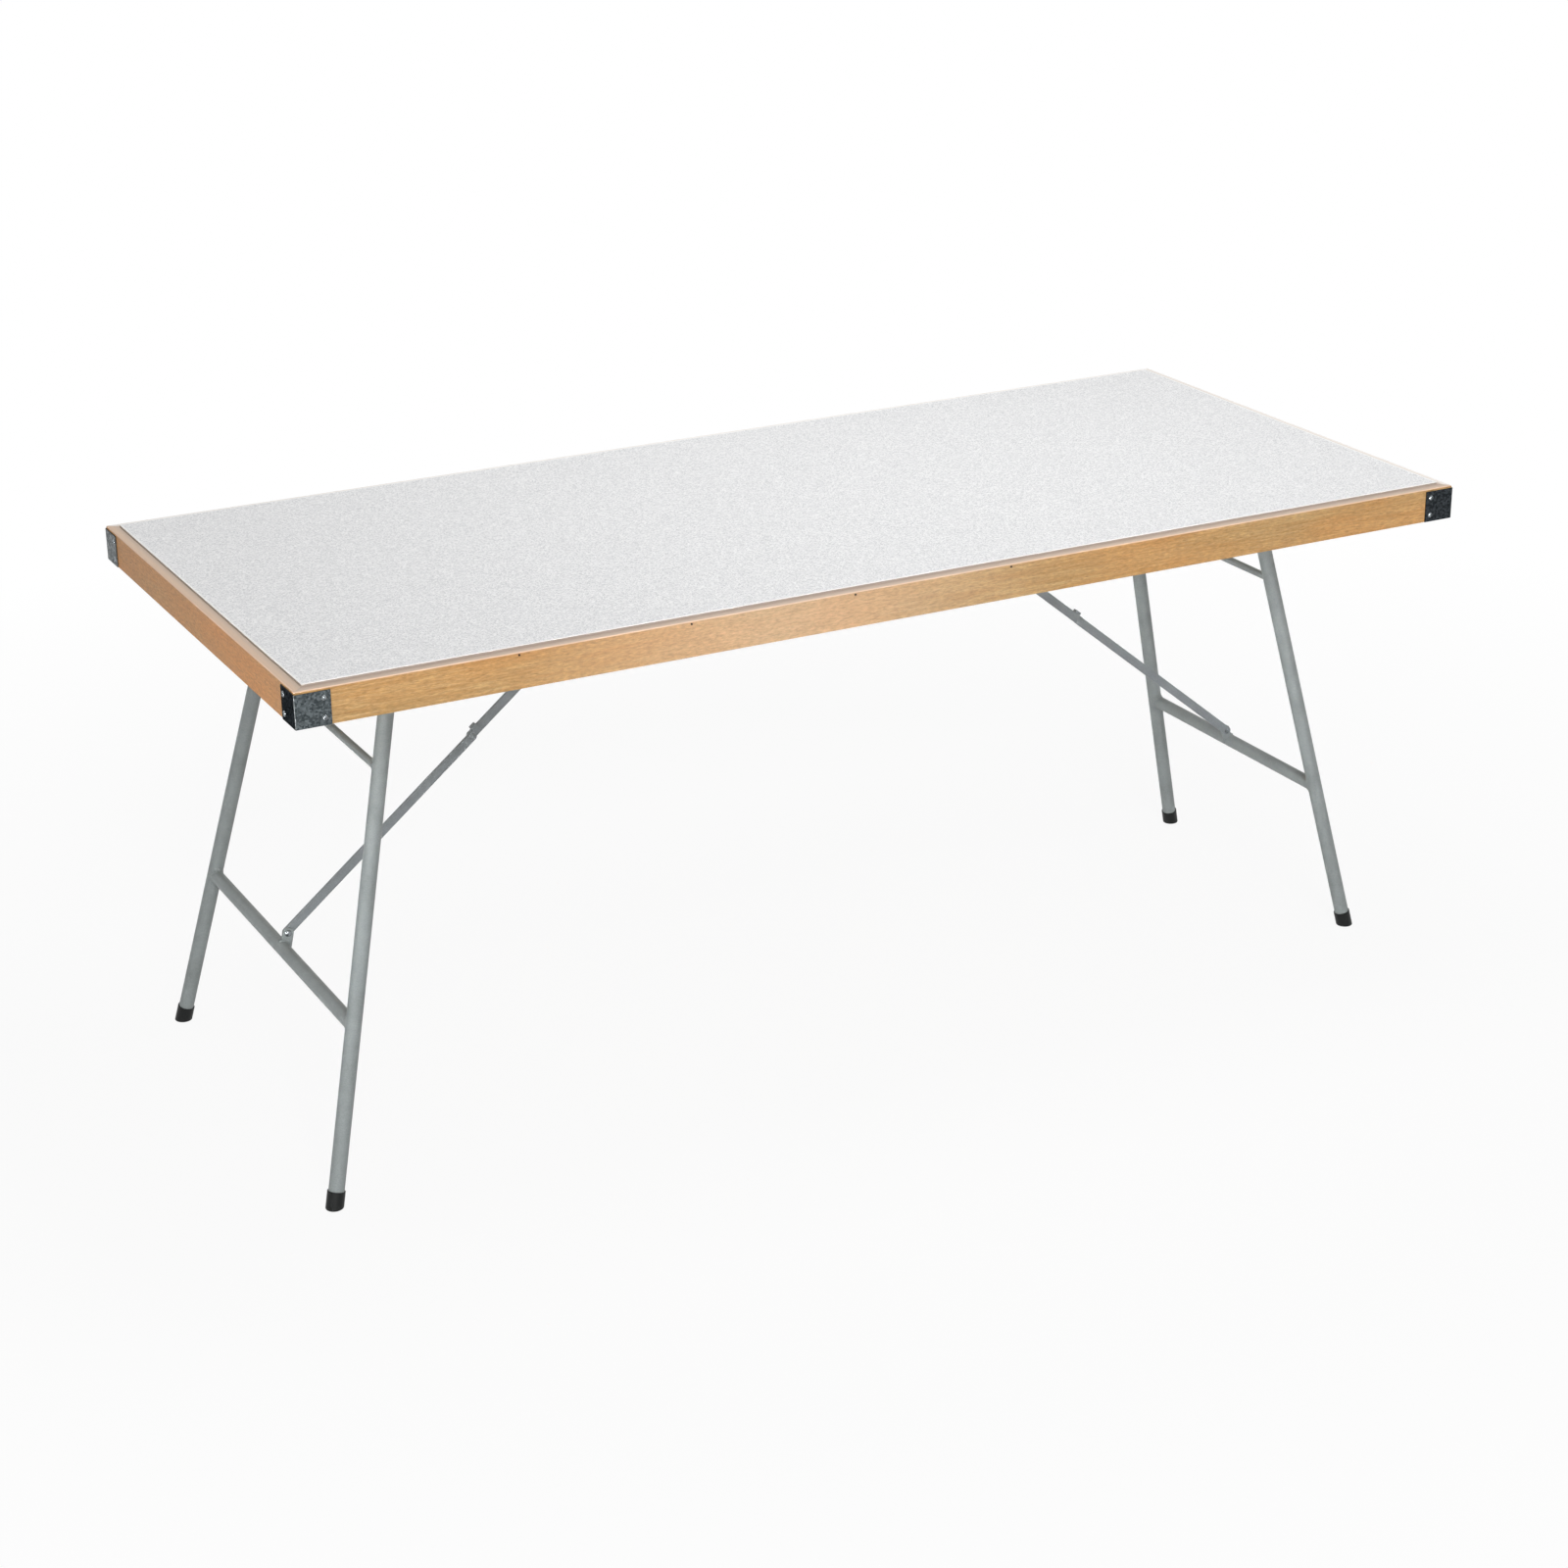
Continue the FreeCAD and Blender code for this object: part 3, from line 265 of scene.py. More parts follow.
def beech(finish, detail, rail, turn, glare_share, redness, tone, rim):
    """Steamed beech, planed and thinly lacquered: straight fine grain with short dark ray flecks."""
    material, tree, place = start(f"lacquered_beech_{rail}")
    grime_and_shade, ledge, arris = rim
    # Coordinates in which the grain always runs along X
    grain = add(tree, "Mapping", {"Vector": place, "Rotation": (0.0, 0.0, turn)}).outputs["Vector"]
    slow = add(tree, "Mapping", {"Vector": grain, "Scale": (0.045, 1.0, 1.0)}).outputs["Vector"]
    rings = add(tree, "TexNoise", {"Vector": slow, "Scale": 1 / detail.ring, "Detail": 3.0, "Roughness": 0.55,
                                   "Distortion": 0.6})
    # Fibres are about 0.2 mm wide, drawn six times as coarse so that they show
    thread = add(tree, "Mapping", {"Vector": grain, "Scale": (0.05, 1.0, 1.0)}).outputs["Vector"]
    fibres = add(tree, "TexNoise", {"Vector": thread, "Scale": per_mm(1.2), "Detail": 2.0, "Roughness": 0.7})
    # Ray flecks are about 2 by 0.3 mm, drawn about four times as large
    short = add(tree, "Mapping", {"Vector": grain, "Scale": (0.2, 1.0, 1.0)}).outputs["Vector"]
    rays = add(tree, "TexVoronoi", {"Vector": short, "Scale": per_mm(1.8), "Randomness": 1.0})
    chance = add(tree, "SeparateColor", {"Color": rays.outputs["Color"]})
    picked = add(tree, "ValToRGB", {"Fac": chance.outputs["Red"]}, ((0.0, GREY[1.0]), (0.35, GREY[0.0])))
    spot = add(tree, "ValToRGB", {"Fac": rays.outputs["Distance"]}, ((0.2, GREY[1.0]), (0.55, GREY[0.0])))
    ray = add(tree, "Math", {0: picked.outputs["Color"], 1: spot.outputs["Color"]}, operation="MULTIPLY")
    ring = add(tree, "ValToRGB", {"Fac": rings.outputs["Fac"]},
               ((0.34, finish.beech_dark), (0.66, finish.beech_light)))
    fibre = add(tree, "MapRange", {"Value": fibres.outputs["Fac"], "From Min": 0.3, "From Max": 0.7,
                                   "To Min": 0.0, "To Max": 0.85})
    fibred = blend(tree, fibre.outputs["Result"], ring.outputs["Color"], finish.beech_dark)
    long_patch = add(tree, "Mapping", {"Vector": grain, "Scale": (0.3, 1.0, 1.0)}).outputs["Vector"]
    patches = add(tree, "TexNoise", {"Vector": long_patch, "Scale": per_mm(70), "Detail": 2.0})
    patch = add(tree, "MapRange", {"Value": patches.outputs["Fac"], "From Min": 0.35, "From Max": 0.7,
                                   "To Min": redness, "To Max": redness + 0.4})
    warmed = blend(tree, patch.outputs["Result"], fibred, finish.beech_warm)
    rayed_share = add(tree, "Math", {0: ray.outputs["Value"], 1: 0.7}, operation="MULTIPLY")
    rayed = blend(tree, rayed_share.outputs["Value"], warmed, finish.beech_fleck)
    # A painted highlight pales the middle of a long rail, a little to the left, in place of a lamp's glare on
    # the lacquer
    run = add(tree, "SeparateXYZ", {"Vector": grain})
    left = add(tree, "Math", {0: run.outputs["X"], 1: 0.2}, operation="ADD")
    middle = add(tree, "Math", {0: left.outputs["Value"]}, operation="ABSOLUTE")
    glared = add(tree, "MapRange", {"Value": middle.outputs["Value"], "From Max": 0.5, "To Min": glare_share,
                                    "To Max": 0.0}, interpolation_type="SMOOTHSTEP")
    pale = blend(tree, glared.outputs["Result"], rayed, finish.beech_glare)
    # Streaks of fibres together, 2 to 3 mm wide, which show from a few steps away
    close = add(tree, "Mapping", {"Vector": grain, "Scale": (0.26, 1.0, 1.0)}).outputs["Vector"]
    streaks = add(tree, "TexNoise", {"Vector": close, "Scale": per_mm(2.6), "Detail": 3.0, "Roughness": 0.75})
    # The tone scales the whole rail's colour; the left rail's lower tone is painted shade
    streak = add(tree, "MapRange", {"Value": streaks.outputs["Fac"], "From Min": 0.3, "From Max": 0.7,
                                    "To Min": 0.74 * tone, "To Max": 1.22 * tone})
    streaked = blend(tree, 1.0, pale, streak.outputs["Result"], "MULTIPLY")
    # The rounded edge is paler where it turns up, partly rubbed by hands and partly a painted highlight;
    # hands grey the narrow top of the rail
    rise = facing(tree)["Z"]
    rounded = add(tree, "MapRange", {"Value": rise, "From Min": 0.2, "From Max": 0.5, "To Max": 0.85})
    level = add(tree, "MapRange", {"Value": rise, "From Min": 0.8, "From Max": 0.98, "To Max": 0.85})
    rubbed = blend(tree, rounded.outputs["Result"], streaked, arris)
    # Beside the panel the top is darker, partly grime and partly painted shade under the panel's raised edge
    inner = add(tree, "MapRange", {"Value": past_panel(tree, place), "From Min": 0.003, "From Max": 0.01})
    top = blend(tree, inner.outputs["Result"], grime_and_shade, ledge)
    final = blend(tree, level.outputs["Result"], rubbed, top)
    matt = add(tree, "MapRange", {"Value": fibres.outputs["Fac"], "To Min": 0.38, "To Max": 0.58})
    bump = add(tree, "Bump", {"Height": fibres.outputs["Fac"], "Strength": 0.2, "Distance": 0.0003})
    shader = add(tree, "BsdfPrincipled", {"Base Color": final, "Roughness": matt.outputs["Result"],
                                          "Normal": bump.outputs["Normal"], "Specular IOR Level": 0.3})
    add(tree, "OutputMaterial", {"Surface": shader.outputs["BSDF"]})
    return material


def plywood(finish, detail):
    """Rotary-cut poplar plywood, bare: broad wavy figure along the sheet, dry and matt."""
    material, tree, place = start("poplar_plywood")
    slow = add(tree, "Mapping", {"Vector": place, "Scale": (0.12, 1.0, 1.0)}).outputs["Vector"]
    figure = add(tree, "TexNoise", {"Vector": slow, "Scale": per_mm(60), "Detail": 2.0, "Distortion": 1.2})
    lines = add(tree, "Math", {0: figure.outputs["Fac"], 1: 42.0}, operation="MULTIPLY")
    wave = add(tree, "Math", {0: lines.outputs["Value"]}, operation="SINE")
    fibres = add(tree, "TexNoise", {"Vector": slow, "Scale": per_mm(1.6), "Detail": 2.0})
    mixed = add(tree, "Math", {0: wave.outputs["Value"], 1: fibres.outputs["Fac"]}, operation="MULTIPLY")
    veneer = add(tree, "ValToRGB", {"Fac": mixed.outputs["Value"]},
                 ((0.0, finish.plywood_light), (0.75, finish.plywood_dark)))
    # Seven plies show at the edge, light and dark by turns
    height = add(tree, "SeparateXYZ", {"Vector": place}).outputs["Z"]
    plies = add(tree, "Math", {0: height, 1: 2 * math.pi / detail.ply}, operation="MULTIPLY")
    stripe = add(tree, "Math", {0: plies.outputs["Value"]}, operation="SINE")
    banded = add(tree, "MapRange", {"Value": stripe.outputs["Value"], "From Min": -0.4, "From Max": 0.4})
    cut = blend(tree, banded.outputs["Result"], finish.ply_edge, finish.ply_edge_dark)
    upright = add(tree, "Math", {0: facing(tree)["Z"]}, operation="ABSOLUTE")
    flat = add(tree, "Math", {0: upright.outputs["Value"], 1: 0.5}, operation="GREATER_THAN")
    final = blend(tree, flat.outputs["Value"], cut, veneer.outputs["Color"])
    matt = add(tree, "MapRange", {"Value": fibres.outputs["Fac"], "To Min": 0.6, "To Max": 0.85})
    bump = add(tree, "Bump", {"Height": fibres.outputs["Fac"], "Strength": 0.3, "Distance": 0.0004})
    shader = add(tree, "BsdfPrincipled", {"Base Color": final, "Normal": bump.outputs["Normal"],
                                          "Roughness": matt.outputs["Result"]})
    add(tree, "OutputMaterial", {"Surface": shader.outputs["BSDF"]})
    return material


def galvanised(finish, detail, name, film, end_film):
    """Hot-dip galvanised sheet: angular zinc crystals, each as bright as its tilt, under a grey film that is
    oxide and also painted reflection and shade.
    """
    material, tree, place = start(name)
    crystals = add(tree, "TexVoronoi", {"Vector": place, "Scale": 1 / detail.spangle, "Randomness": 1.0})
    tilt = add(tree, "SeparateColor", {"Color": crystals.outputs["Color"]})
    feathers = add(tree, "TexNoise", {"Vector": place, "Scale": per_mm(0.9), "Detail": 3.0, "Roughness": 0.7})
    grain = add(tree, "MapRange", {"Value": feathers.outputs["Fac"], "From Min": 0.3, "From Max": 0.7,
                                   "To Min": -0.25, "To Max": 0.25})
    tone = add(tree, "Math", {0: tilt.outputs["Red"], 1: grain.outputs["Result"]}, operation="ADD")
    zinc = add(tree, "ValToRGB", {"Fac": tone.outputs["Value"]},
               ((0.0, finish.zinc_dark), (0.5, finish.zinc_middle), (1.0, finish.zinc_light)))
    # The flange at the table's end is darkened as painted shade, as if it reflected less light, and the bend
    # between the two is painted bright as a highlight
    end = add(tree, "Math", {0: facing(tree)["X"]}, operation="ABSOLUTE")
    share = add(tree, "MapRange", {"Value": end.outputs["Value"], "From Min": 0.6, "From Max": 0.9})
    flat = blend(tree, share.outputs["Result"], film, end_film)
    bend = add(tree, "Math", {0: end.outputs["Value"], 1: 0.7, 2: 0.25}, operation="COMPARE")
    oxide = blend(tree, bend.outputs["Value"], flat, finish.zinc_film_lit)
    dulled = blend(tree, 1.0, zinc.outputs["Color"], oxide, "MULTIPLY")
    rough = add(tree, "MapRange", {"Value": tilt.outputs["Green"], "To Min": 0.34, "To Max": 0.5})
    bump = add(tree, "Bump", {"Height": feathers.outputs["Fac"], "Strength": 0.2, "Distance": 0.0002})
    shader = add(tree, "BsdfPrincipled", {"Base Color": dulled, "Metallic": 1.0, "Specular Tint": GREY[0.35],
                                          "Roughness": rough.outputs["Result"],
                                          "Normal": bump.outputs["Normal"]})
    add(tree, "OutputMaterial", {"Surface": shader.outputs["BSDF"]})
    return material


def painted(name, fresh, dull, roughness):
    """Stoved enamel on drawn steel: slight orange peel, duller where it is handled and dirty."""
    material, tree, place = start(name)
    cloud = add(tree, "TexNoise", {"Vector": place, "Scale": per_mm(45), "Detail": 5.0, "Roughness": 0.65})
    worn = add(tree, "MapRange", {"Value": cloud.outputs["Fac"], "From Min": 0.42, "From Max": 0.72,
                                  "To Max": 0.75})
    paint = blend(tree, worn.outputs["Result"], fresh, dull)
    # Metal flakes are about 0.05 mm, drawn at 1 mm so that they show
    flakes = add(tree, "TexVoronoi", {"Vector": place, "Scale": per_mm(1.0), "Randomness": 1.0})
    glint = add(tree, "SeparateColor", {"Color": flakes.outputs["Color"]})
    glint_share = add(tree, "MapRange", {"Value": glint.outputs["Red"], "To Max": 0.06})
    flaked = blend(tree, glint_share.outputs["Result"], paint, GREY[1.0])
    matt = add(tree, "MapRange", {"Value": cloud.outputs["Fac"], "To Min": roughness - 0.06,
                                  "To Max": roughness + 0.14})
    peel = add(tree, "TexNoise", {"Vector": place, "Scale": per_mm(3.0), "Detail": 1.0})
    bump = add(tree, "Bump", {"Height": peel.outputs["Fac"], "Strength": 0.03, "Distance": 0.0004})
    shader = add(tree, "BsdfPrincipled", {"Base Color": flaked, "Specular IOR Level": 0.3,
                                          "Roughness": matt.outputs["Result"],
                                          "Normal": bump.outputs["Normal"]})
    add(tree, "OutputMaterial", {"Surface": shader.outputs["BSDF"]})
    return material


def moulded_plastic(finish):
    """Moulded black polythene: fine satin grain, scuffed grey where it meets the floor."""
    material, tree, place = start("black_polythene")
    height = add(tree, "SeparateXYZ", {"Vector": place}).outputs["Z"]
    low = add(tree, "MapRange", {"Value": height, "From Min": 0.0, "From Max": 0.009, "To Min": 1.0,
                                 "To Max": 0.12})
    scratches = add(tree, "TexNoise", {"Vector": place, "Scale": per_mm(4.0), "Detail": 6.0,
                                       "Roughness": 0.75})
    picked = add(tree, "MapRange", {"Value": scratches.outputs["Fac"], "From Min": 0.5, "From Max": 0.68})
    scuff = add(tree, "Math", {0: picked.outputs["Result"], 1: low.outputs["Result"]}, operation="MULTIPLY")
    plastic = blend(tree, scuff.outputs["Value"], finish.plastic, finish.plastic_scuff)
    matt = add(tree, "MapRange", {"Value": scuff.outputs["Value"], "To Min": 0.42, "To Max": 0.75})
    grain = add(tree, "TexNoise", {"Vector": place, "Scale": per_mm(0.9), "Detail": 1.0})
    bump = add(tree, "Bump", {"Height": grain.outputs["Fac"], "Strength": 0.2, "Distance": 0.0002})
    shader = add(tree, "BsdfPrincipled", {"Base Color": plastic, "Roughness": matt.outputs["Result"],
                                          "Normal": bump.outputs["Normal"], "IOR": 1.51,
                                          "Specular IOR Level": 0.2})
    add(tree, "OutputMaterial", {"Surface": shader.outputs["BSDF"]})
    return material


def plated(name, bright, dull, roughness):
    """Plated or oxidised fastener steel: smooth metal with a cloudy film."""
    material, tree, place = start(name)
    film = add(tree, "TexNoise", {"Vector": place, "Scale": per_mm(3.0), "Detail": 4.0, "Roughness": 0.7})
    share = add(tree, "MapRange", {"Value": film.outputs["Fac"], "From Min": 0.4, "From Max": 0.7})
    metal = blend(tree, share.outputs["Result"], bright, dull)
    rough = add(tree, "MapRange", {"Value": film.outputs["Fac"], "To Min": roughness - 0.08,
                                   "To Max": roughness + 0.12})
    shader = add(tree, "BsdfPrincipled", {"Base Color": metal, "Metallic": 1.0,
                                          "Roughness": rough.outputs["Result"]})
    add(tree, "OutputMaterial", {"Surface": shader.outputs["BSDF"]})
    return material


def dress(material, *names):
    """Give CAD nodes a material."""
    for name in names:
        mesh = frame["nodes"][name].data
        if not mesh.materials:
            mesh.materials.append(material)
        for index in range(len(mesh.materials)):
            mesh.materials[index] = material


class DressPanel(bpy.types.Operator):
    """Finish the laminate and the board under it"""
    bl_idname = "trestle.dress_panel"
    bl_label = "Finish the panel"

    def execute(self, context):
        finish, detail = context.scene.trestle_finishes, context.scene.trestle_details
        dress(laminate(finish, detail), "top_laminate")
        dress(plywood(finish, detail), "board")
        return {"FINISHED"}


class DressRails(bpy.types.Operator):
    """Finish the four beech rails, with the grain along each"""
    bl_idname = "trestle.dress_rails"
    bl_label = "Finish the rails"

    def execute(self, context):
        finish, detail = context.scene.trestle_finishes, context.scene.trestle_details
        worn = (finish.beech_grime_and_shade, finish.beech_rim, finish.beech_arris)
        handled = (finish.beech_rim, finish.beech_end_rim, finish.beech_arris)
        # The rear and right rails' top and rounded edge are painted near white as a highlight
        highlit = (finish.beech_rim, finish.beech_rim_highlight, finish.beech_rim_highlight)
        # The left rail's tone of 0.83 darkens that end rail as painted shade
        for rail, turn, glare_share, redness, tone, rim in (("front", 0.0, 0.45, 0.0, 1.0, worn),
                                                       ("rear", 0.0, 0.45, 0.0, 1.0, highlit),
                                                       ("left", math.pi / 2, 0.0, 0.6, 0.83, handled),
                                                       ("right", math.pi / 2, 0.0, 0.45, 0.95, highlit)):
            dress(beech(finish, detail, rail, turn, glare_share, redness, tone, rim), f"{rail}_rail")
        return {"FINISHED"}


class DressPlates(bpy.types.Operator):
    """Finish the corner plates and the brackets of galvanised sheet"""
    bl_idname = "trestle.dress_plates"
    bl_label = "Finish the plates"

    def execute(self, context):
        finish, detail = context.scene.trestle_finishes, context.scene.trestle_details
        # The plates differ only by painted reflection: the front-left plate's end flange and the whole
        # front-right plate are painted shaded, and the rear plates and brackets are painted lit
        darkened = galvanised(finish, detail, "galvanised_steel_weathered", finish.oxide, finish.zinc_film_shaded)
        dull = galvanised(finish, detail, "galvanised_steel_dull", finish.zinc_film_shaded, finish.zinc_film_shaded)
        bright = galvanised(finish, detail, "galvanised_steel_bright", finish.oxide, finish.zinc_film_lit)
        dress(darkened, "front_left_corner_plate")
        dress(dull, "front_right_corner_plate")
        dress(bright, *(f"rear_{side}_corner_plate" for side in SIDES))
        dress(bright, *(f"{corner}_hinge_bracket" for corner in CORNERS))
        dress(bright, *(f"{side}_strut_bracket" for side in SIDES))
        return {"FINISHED"}


class DressFasteners(bpy.types.Operator):
    """Finish the screws, bolts, nuts, rivets and brads"""
    bl_idname = "trestle.dress_fasteners"
    bl_label = "Finish the fasteners"

    def execute(self, context):
        finish = context.scene.trestle_finishes
        zinc = plated("bright_zinc_plate", finish.screw, finish.screw_dull, 0.2)
        dress(zinc, "corner_plate_screws", "hinge_bracket_screws", "strut_bracket_screws", "hinge_bolts",
              "hinge_nuts")
        for side in SIDES:
            dress(zinc, f"{side}_anchor_rivet", f"{side}_lug_rivet")
        dress(plated("oxidised_brad_steel", finish.brad, finish.brad_dark, 0.5), "rail_brads")
        return {"FINISHED"}


class DressFrames(bpy.types.Operator):
    """Finish the leg frames and their foot caps"""
    bl_idname = "trestle.dress_frames"
    bl_label = "Finish the leg frames"

    def execute(self, context):
        finish = context.scene.trestle_finishes
        silver = painted("silver_stoved_enamel", finish.tube, finish.tube_dark, 0.42)
        black = moulded_plastic(finish)
        for side in SIDES:
            dress(silver, f"{side}_lower_crossbar", f"{side}_upper_crossbar", f"{side}_strut_lug")
            for end in ENDS:
                dress(silver, f"{side}_{end}_leg")
                dress(black, f"{side}_{end}_foot_cap")
        return {"FINISHED"}


class LayWelds(bpy.types.Operator):
    """Lay the hollow welds where crossbars and lugs run into the tubes"""
    bl_idname = "trestle.lay_welds"
    bl_label = "Lay the welds"

    # Points round a crossbar, and faces across a weld
    STEPS = 72
    ARC = 6
    # Height of the ripples as a share of the reach, and how far a root sinks into the metal
    SWELL = 0.1
    SINK = 0.0004
    # Share of the reach at an open end, and points over which it grows to the whole
    LEAST = 0.3
    TAPER = 6

    def execute(self, context):
        detail = context.scene.trestle_details
        for side in SIDES:
            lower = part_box(f"{side}_lower_crossbar")
            for end, seam in self.lug_seams(side, lower):
                self.weld(context, detail, f"{side}_lug_{end}_weld", side, detail.lug_weld, seam, False)
            for end in ENDS:
                for bar in ("lower", "upper"):
                    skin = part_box(f"{side}_{bar}_crossbar")
                    seam, closed = self.leg_seam(side, end, skin)
                    self.weld(context, detail, f"{side}_{end}_{bar}_weld", side, detail.weld, seam, closed)
        return {"FINISHED"}

    def leg_seam(self, side, end, skin):
        """Where a bar's skin meets a leg tube: points, ways out over tube and bar, and the tube's curve."""
        hinge = sum(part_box(f"{end}_{side}_hinge_bracket"), Vector()) / 2
        hinge.z = sum(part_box("hinge_bolts"), Vector()).z / 2
        run = (MOUNTS[f"{end}_{side}_foot"] - hinge).normalized()
        across = Vector((0.0, 1.0, 0.0)).cross(run)
        inward = 1.0 if end == "front" else -1.0
        centre = sum(skin, Vector()) / 2
        radius = (skin[1].z - skin[0].z) / 2
        points = []
        for step in range(self.STEPS):
            turn = 2 * math.pi * step / self.STEPS
            point = Vector((centre.x + radius * math.cos(turn), 0.0, centre.z + radius * math.sin(turn)))
            offset = (point - hinge).cross(run)
            half = offset.dot(across)
            room = half * half - across.length_squared * (offset.length_squared - LEG_RADIUS ** 2)
            if room > 0.0:
                point.y = (inward * math.sqrt(room) - half) / across.length_squared
                points.append(point)
            else:
                points.append(None)
        closed = None not in points
        if not closed:
            # A bar that sits off the tube's middle misses it on one side, and the weld stops there
            gap = max(index for index, point in enumerate(points) if point is None)
            points = [point for point in points[gap + 1:] + points[:gap] if point is not None]
        seam = []
        for index, point in enumerate(points):
            before = points[index - 1] if closed or index else point
            after = points[(index + 1) % len(points)] if closed or index + 1 < len(points) else point
            spoke = point - hinge
            spoke = (spoke - spoke.dot(run) * run).normalized()
            over_tube = spoke.cross(after - before).normalized()
            if over_tube.dot(Vector((point.x - centre.x, 0.0, point.z - centre.z))) < 0.0:
                over_tube.negate()
            curve = (1.0 - over_tube.dot(run) ** 2) / (2 * LEG_RADIUS)
            seam.append((point, over_tube, Vector((0.0, inward, 0.0)), spoke, curve))
        return seam, closed

    def lug_seams(self, side, skin):
        """The two faces of a strut lug on its crossbar, as leg_seam gives a seam."""
        low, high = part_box(f"{side}_strut_lug")
        rivet = sum(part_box(f"{side}_lug_rivet"), Vector()) / 2
        centre = sum(skin, Vector()) / 2
        radius = (skin[1].z - skin[0].z) / 2
        lean = math.atan2(rivet.z - centre.z, rivet.x - centre.x)
        spread = math.asin((high.z - rivet.z) / radius)
        for end, depth, away in (("front", low.y, -1.0), ("rear", high.y, 1.0)):
            seam = []
            for step in range(self.STEPS // 2):
                turn = lean + spread * (2 * step / (self.STEPS // 2 - 1) - 1)
                spoke = Vector((math.cos(turn), 0.0, math.sin(turn)))
                point = Vector((centre.x, depth, centre.z)) + radius * spoke
                seam.append((point, Vector((0.0, away, 0.0)), spoke, spoke, 0.0))
            yield end, seam

    def weld(self, context, detail, name, side, size, seam, closed):
        """A hollow fillet along a seam, faintly rippled, which rides on the leg frame."""
        count = len(seam)
        shape = bmesh.new()
        rings = []
        travelled = 0.0
        for index, (point, over_first, over_second, spoke, curve) in enumerate(seam):
            travelled += (point - seam[index - 1][0]).length if index else 0.0
            taper = 1.0 if closed else min(1.0, self.LEAST + min(index, count - 1 - index) / self.TAPER)
            reach = size * taper * (1.0 + self.SWELL * math.sin(2 * math.pi * travelled / detail.ripple))
            ring = [shape.verts.new(point - self.SINK * (over_first + over_second + spoke))]
            for step in range(self.ARC + 1):
                turn = math.pi / 2 * step / self.ARC
                out_first, out_second = reach * (1.0 - math.sin(turn)), reach * (1.0 - math.cos(turn))
                # Where the tube curves away under the fillet, its foot follows
                foot = self.SINK * (1.0 - step / self.ARC) + curve * out_first ** 2
                over = out_first * over_first + out_second * over_second
                ring.append(shape.verts.new(point + over - foot * spoke))
            rings.append(ring)
        for index in range(count if closed else count - 1):
            first, second = rings[index], rings[(index + 1) % count]
            for step in range(len(first)):
                after = (step + 1) % len(first)
                shape.faces.new((first[step], first[after], second[after], second[step]))
        if not closed:
            shape.faces.new(rings[0])
            shape.faces.new(rings[-1])
        bmesh.ops.recalc_face_normals(shape, faces=shape.faces)
        mesh = bpy.data.meshes.new(name)
        shape.to_mesh(mesh)
        shape.free()
        mesh.shade_smooth()
        mesh.materials.append(bpy.data.materials["silver_stoved_enamel"])
        item = bpy.data.objects.new(name, mesh)
        context.scene.collection.objects.link(item)
        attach(item, f"{side}_leg_frame")


class DressStruts(bpy.types.Operator):
    """Finish the links of the two struts and the rivets painted with them"""
    bl_idname = "trestle.dress_struts"
    bl_label = "Finish the struts"

    def execute(self, context):
        finish = context.scene.trestle_finishes
        grey = painted("grey_stoved_enamel", finish.bar, finish.bar_dark, 0.46)
        for side in SIDES:
            dress(grey, f"{side}_lower_link", f"{side}_upper_link", f"{side}_lower_knuckle_rivet",
                  f"{side}_upper_knuckle_rivet")
        return {"FINISHED"}


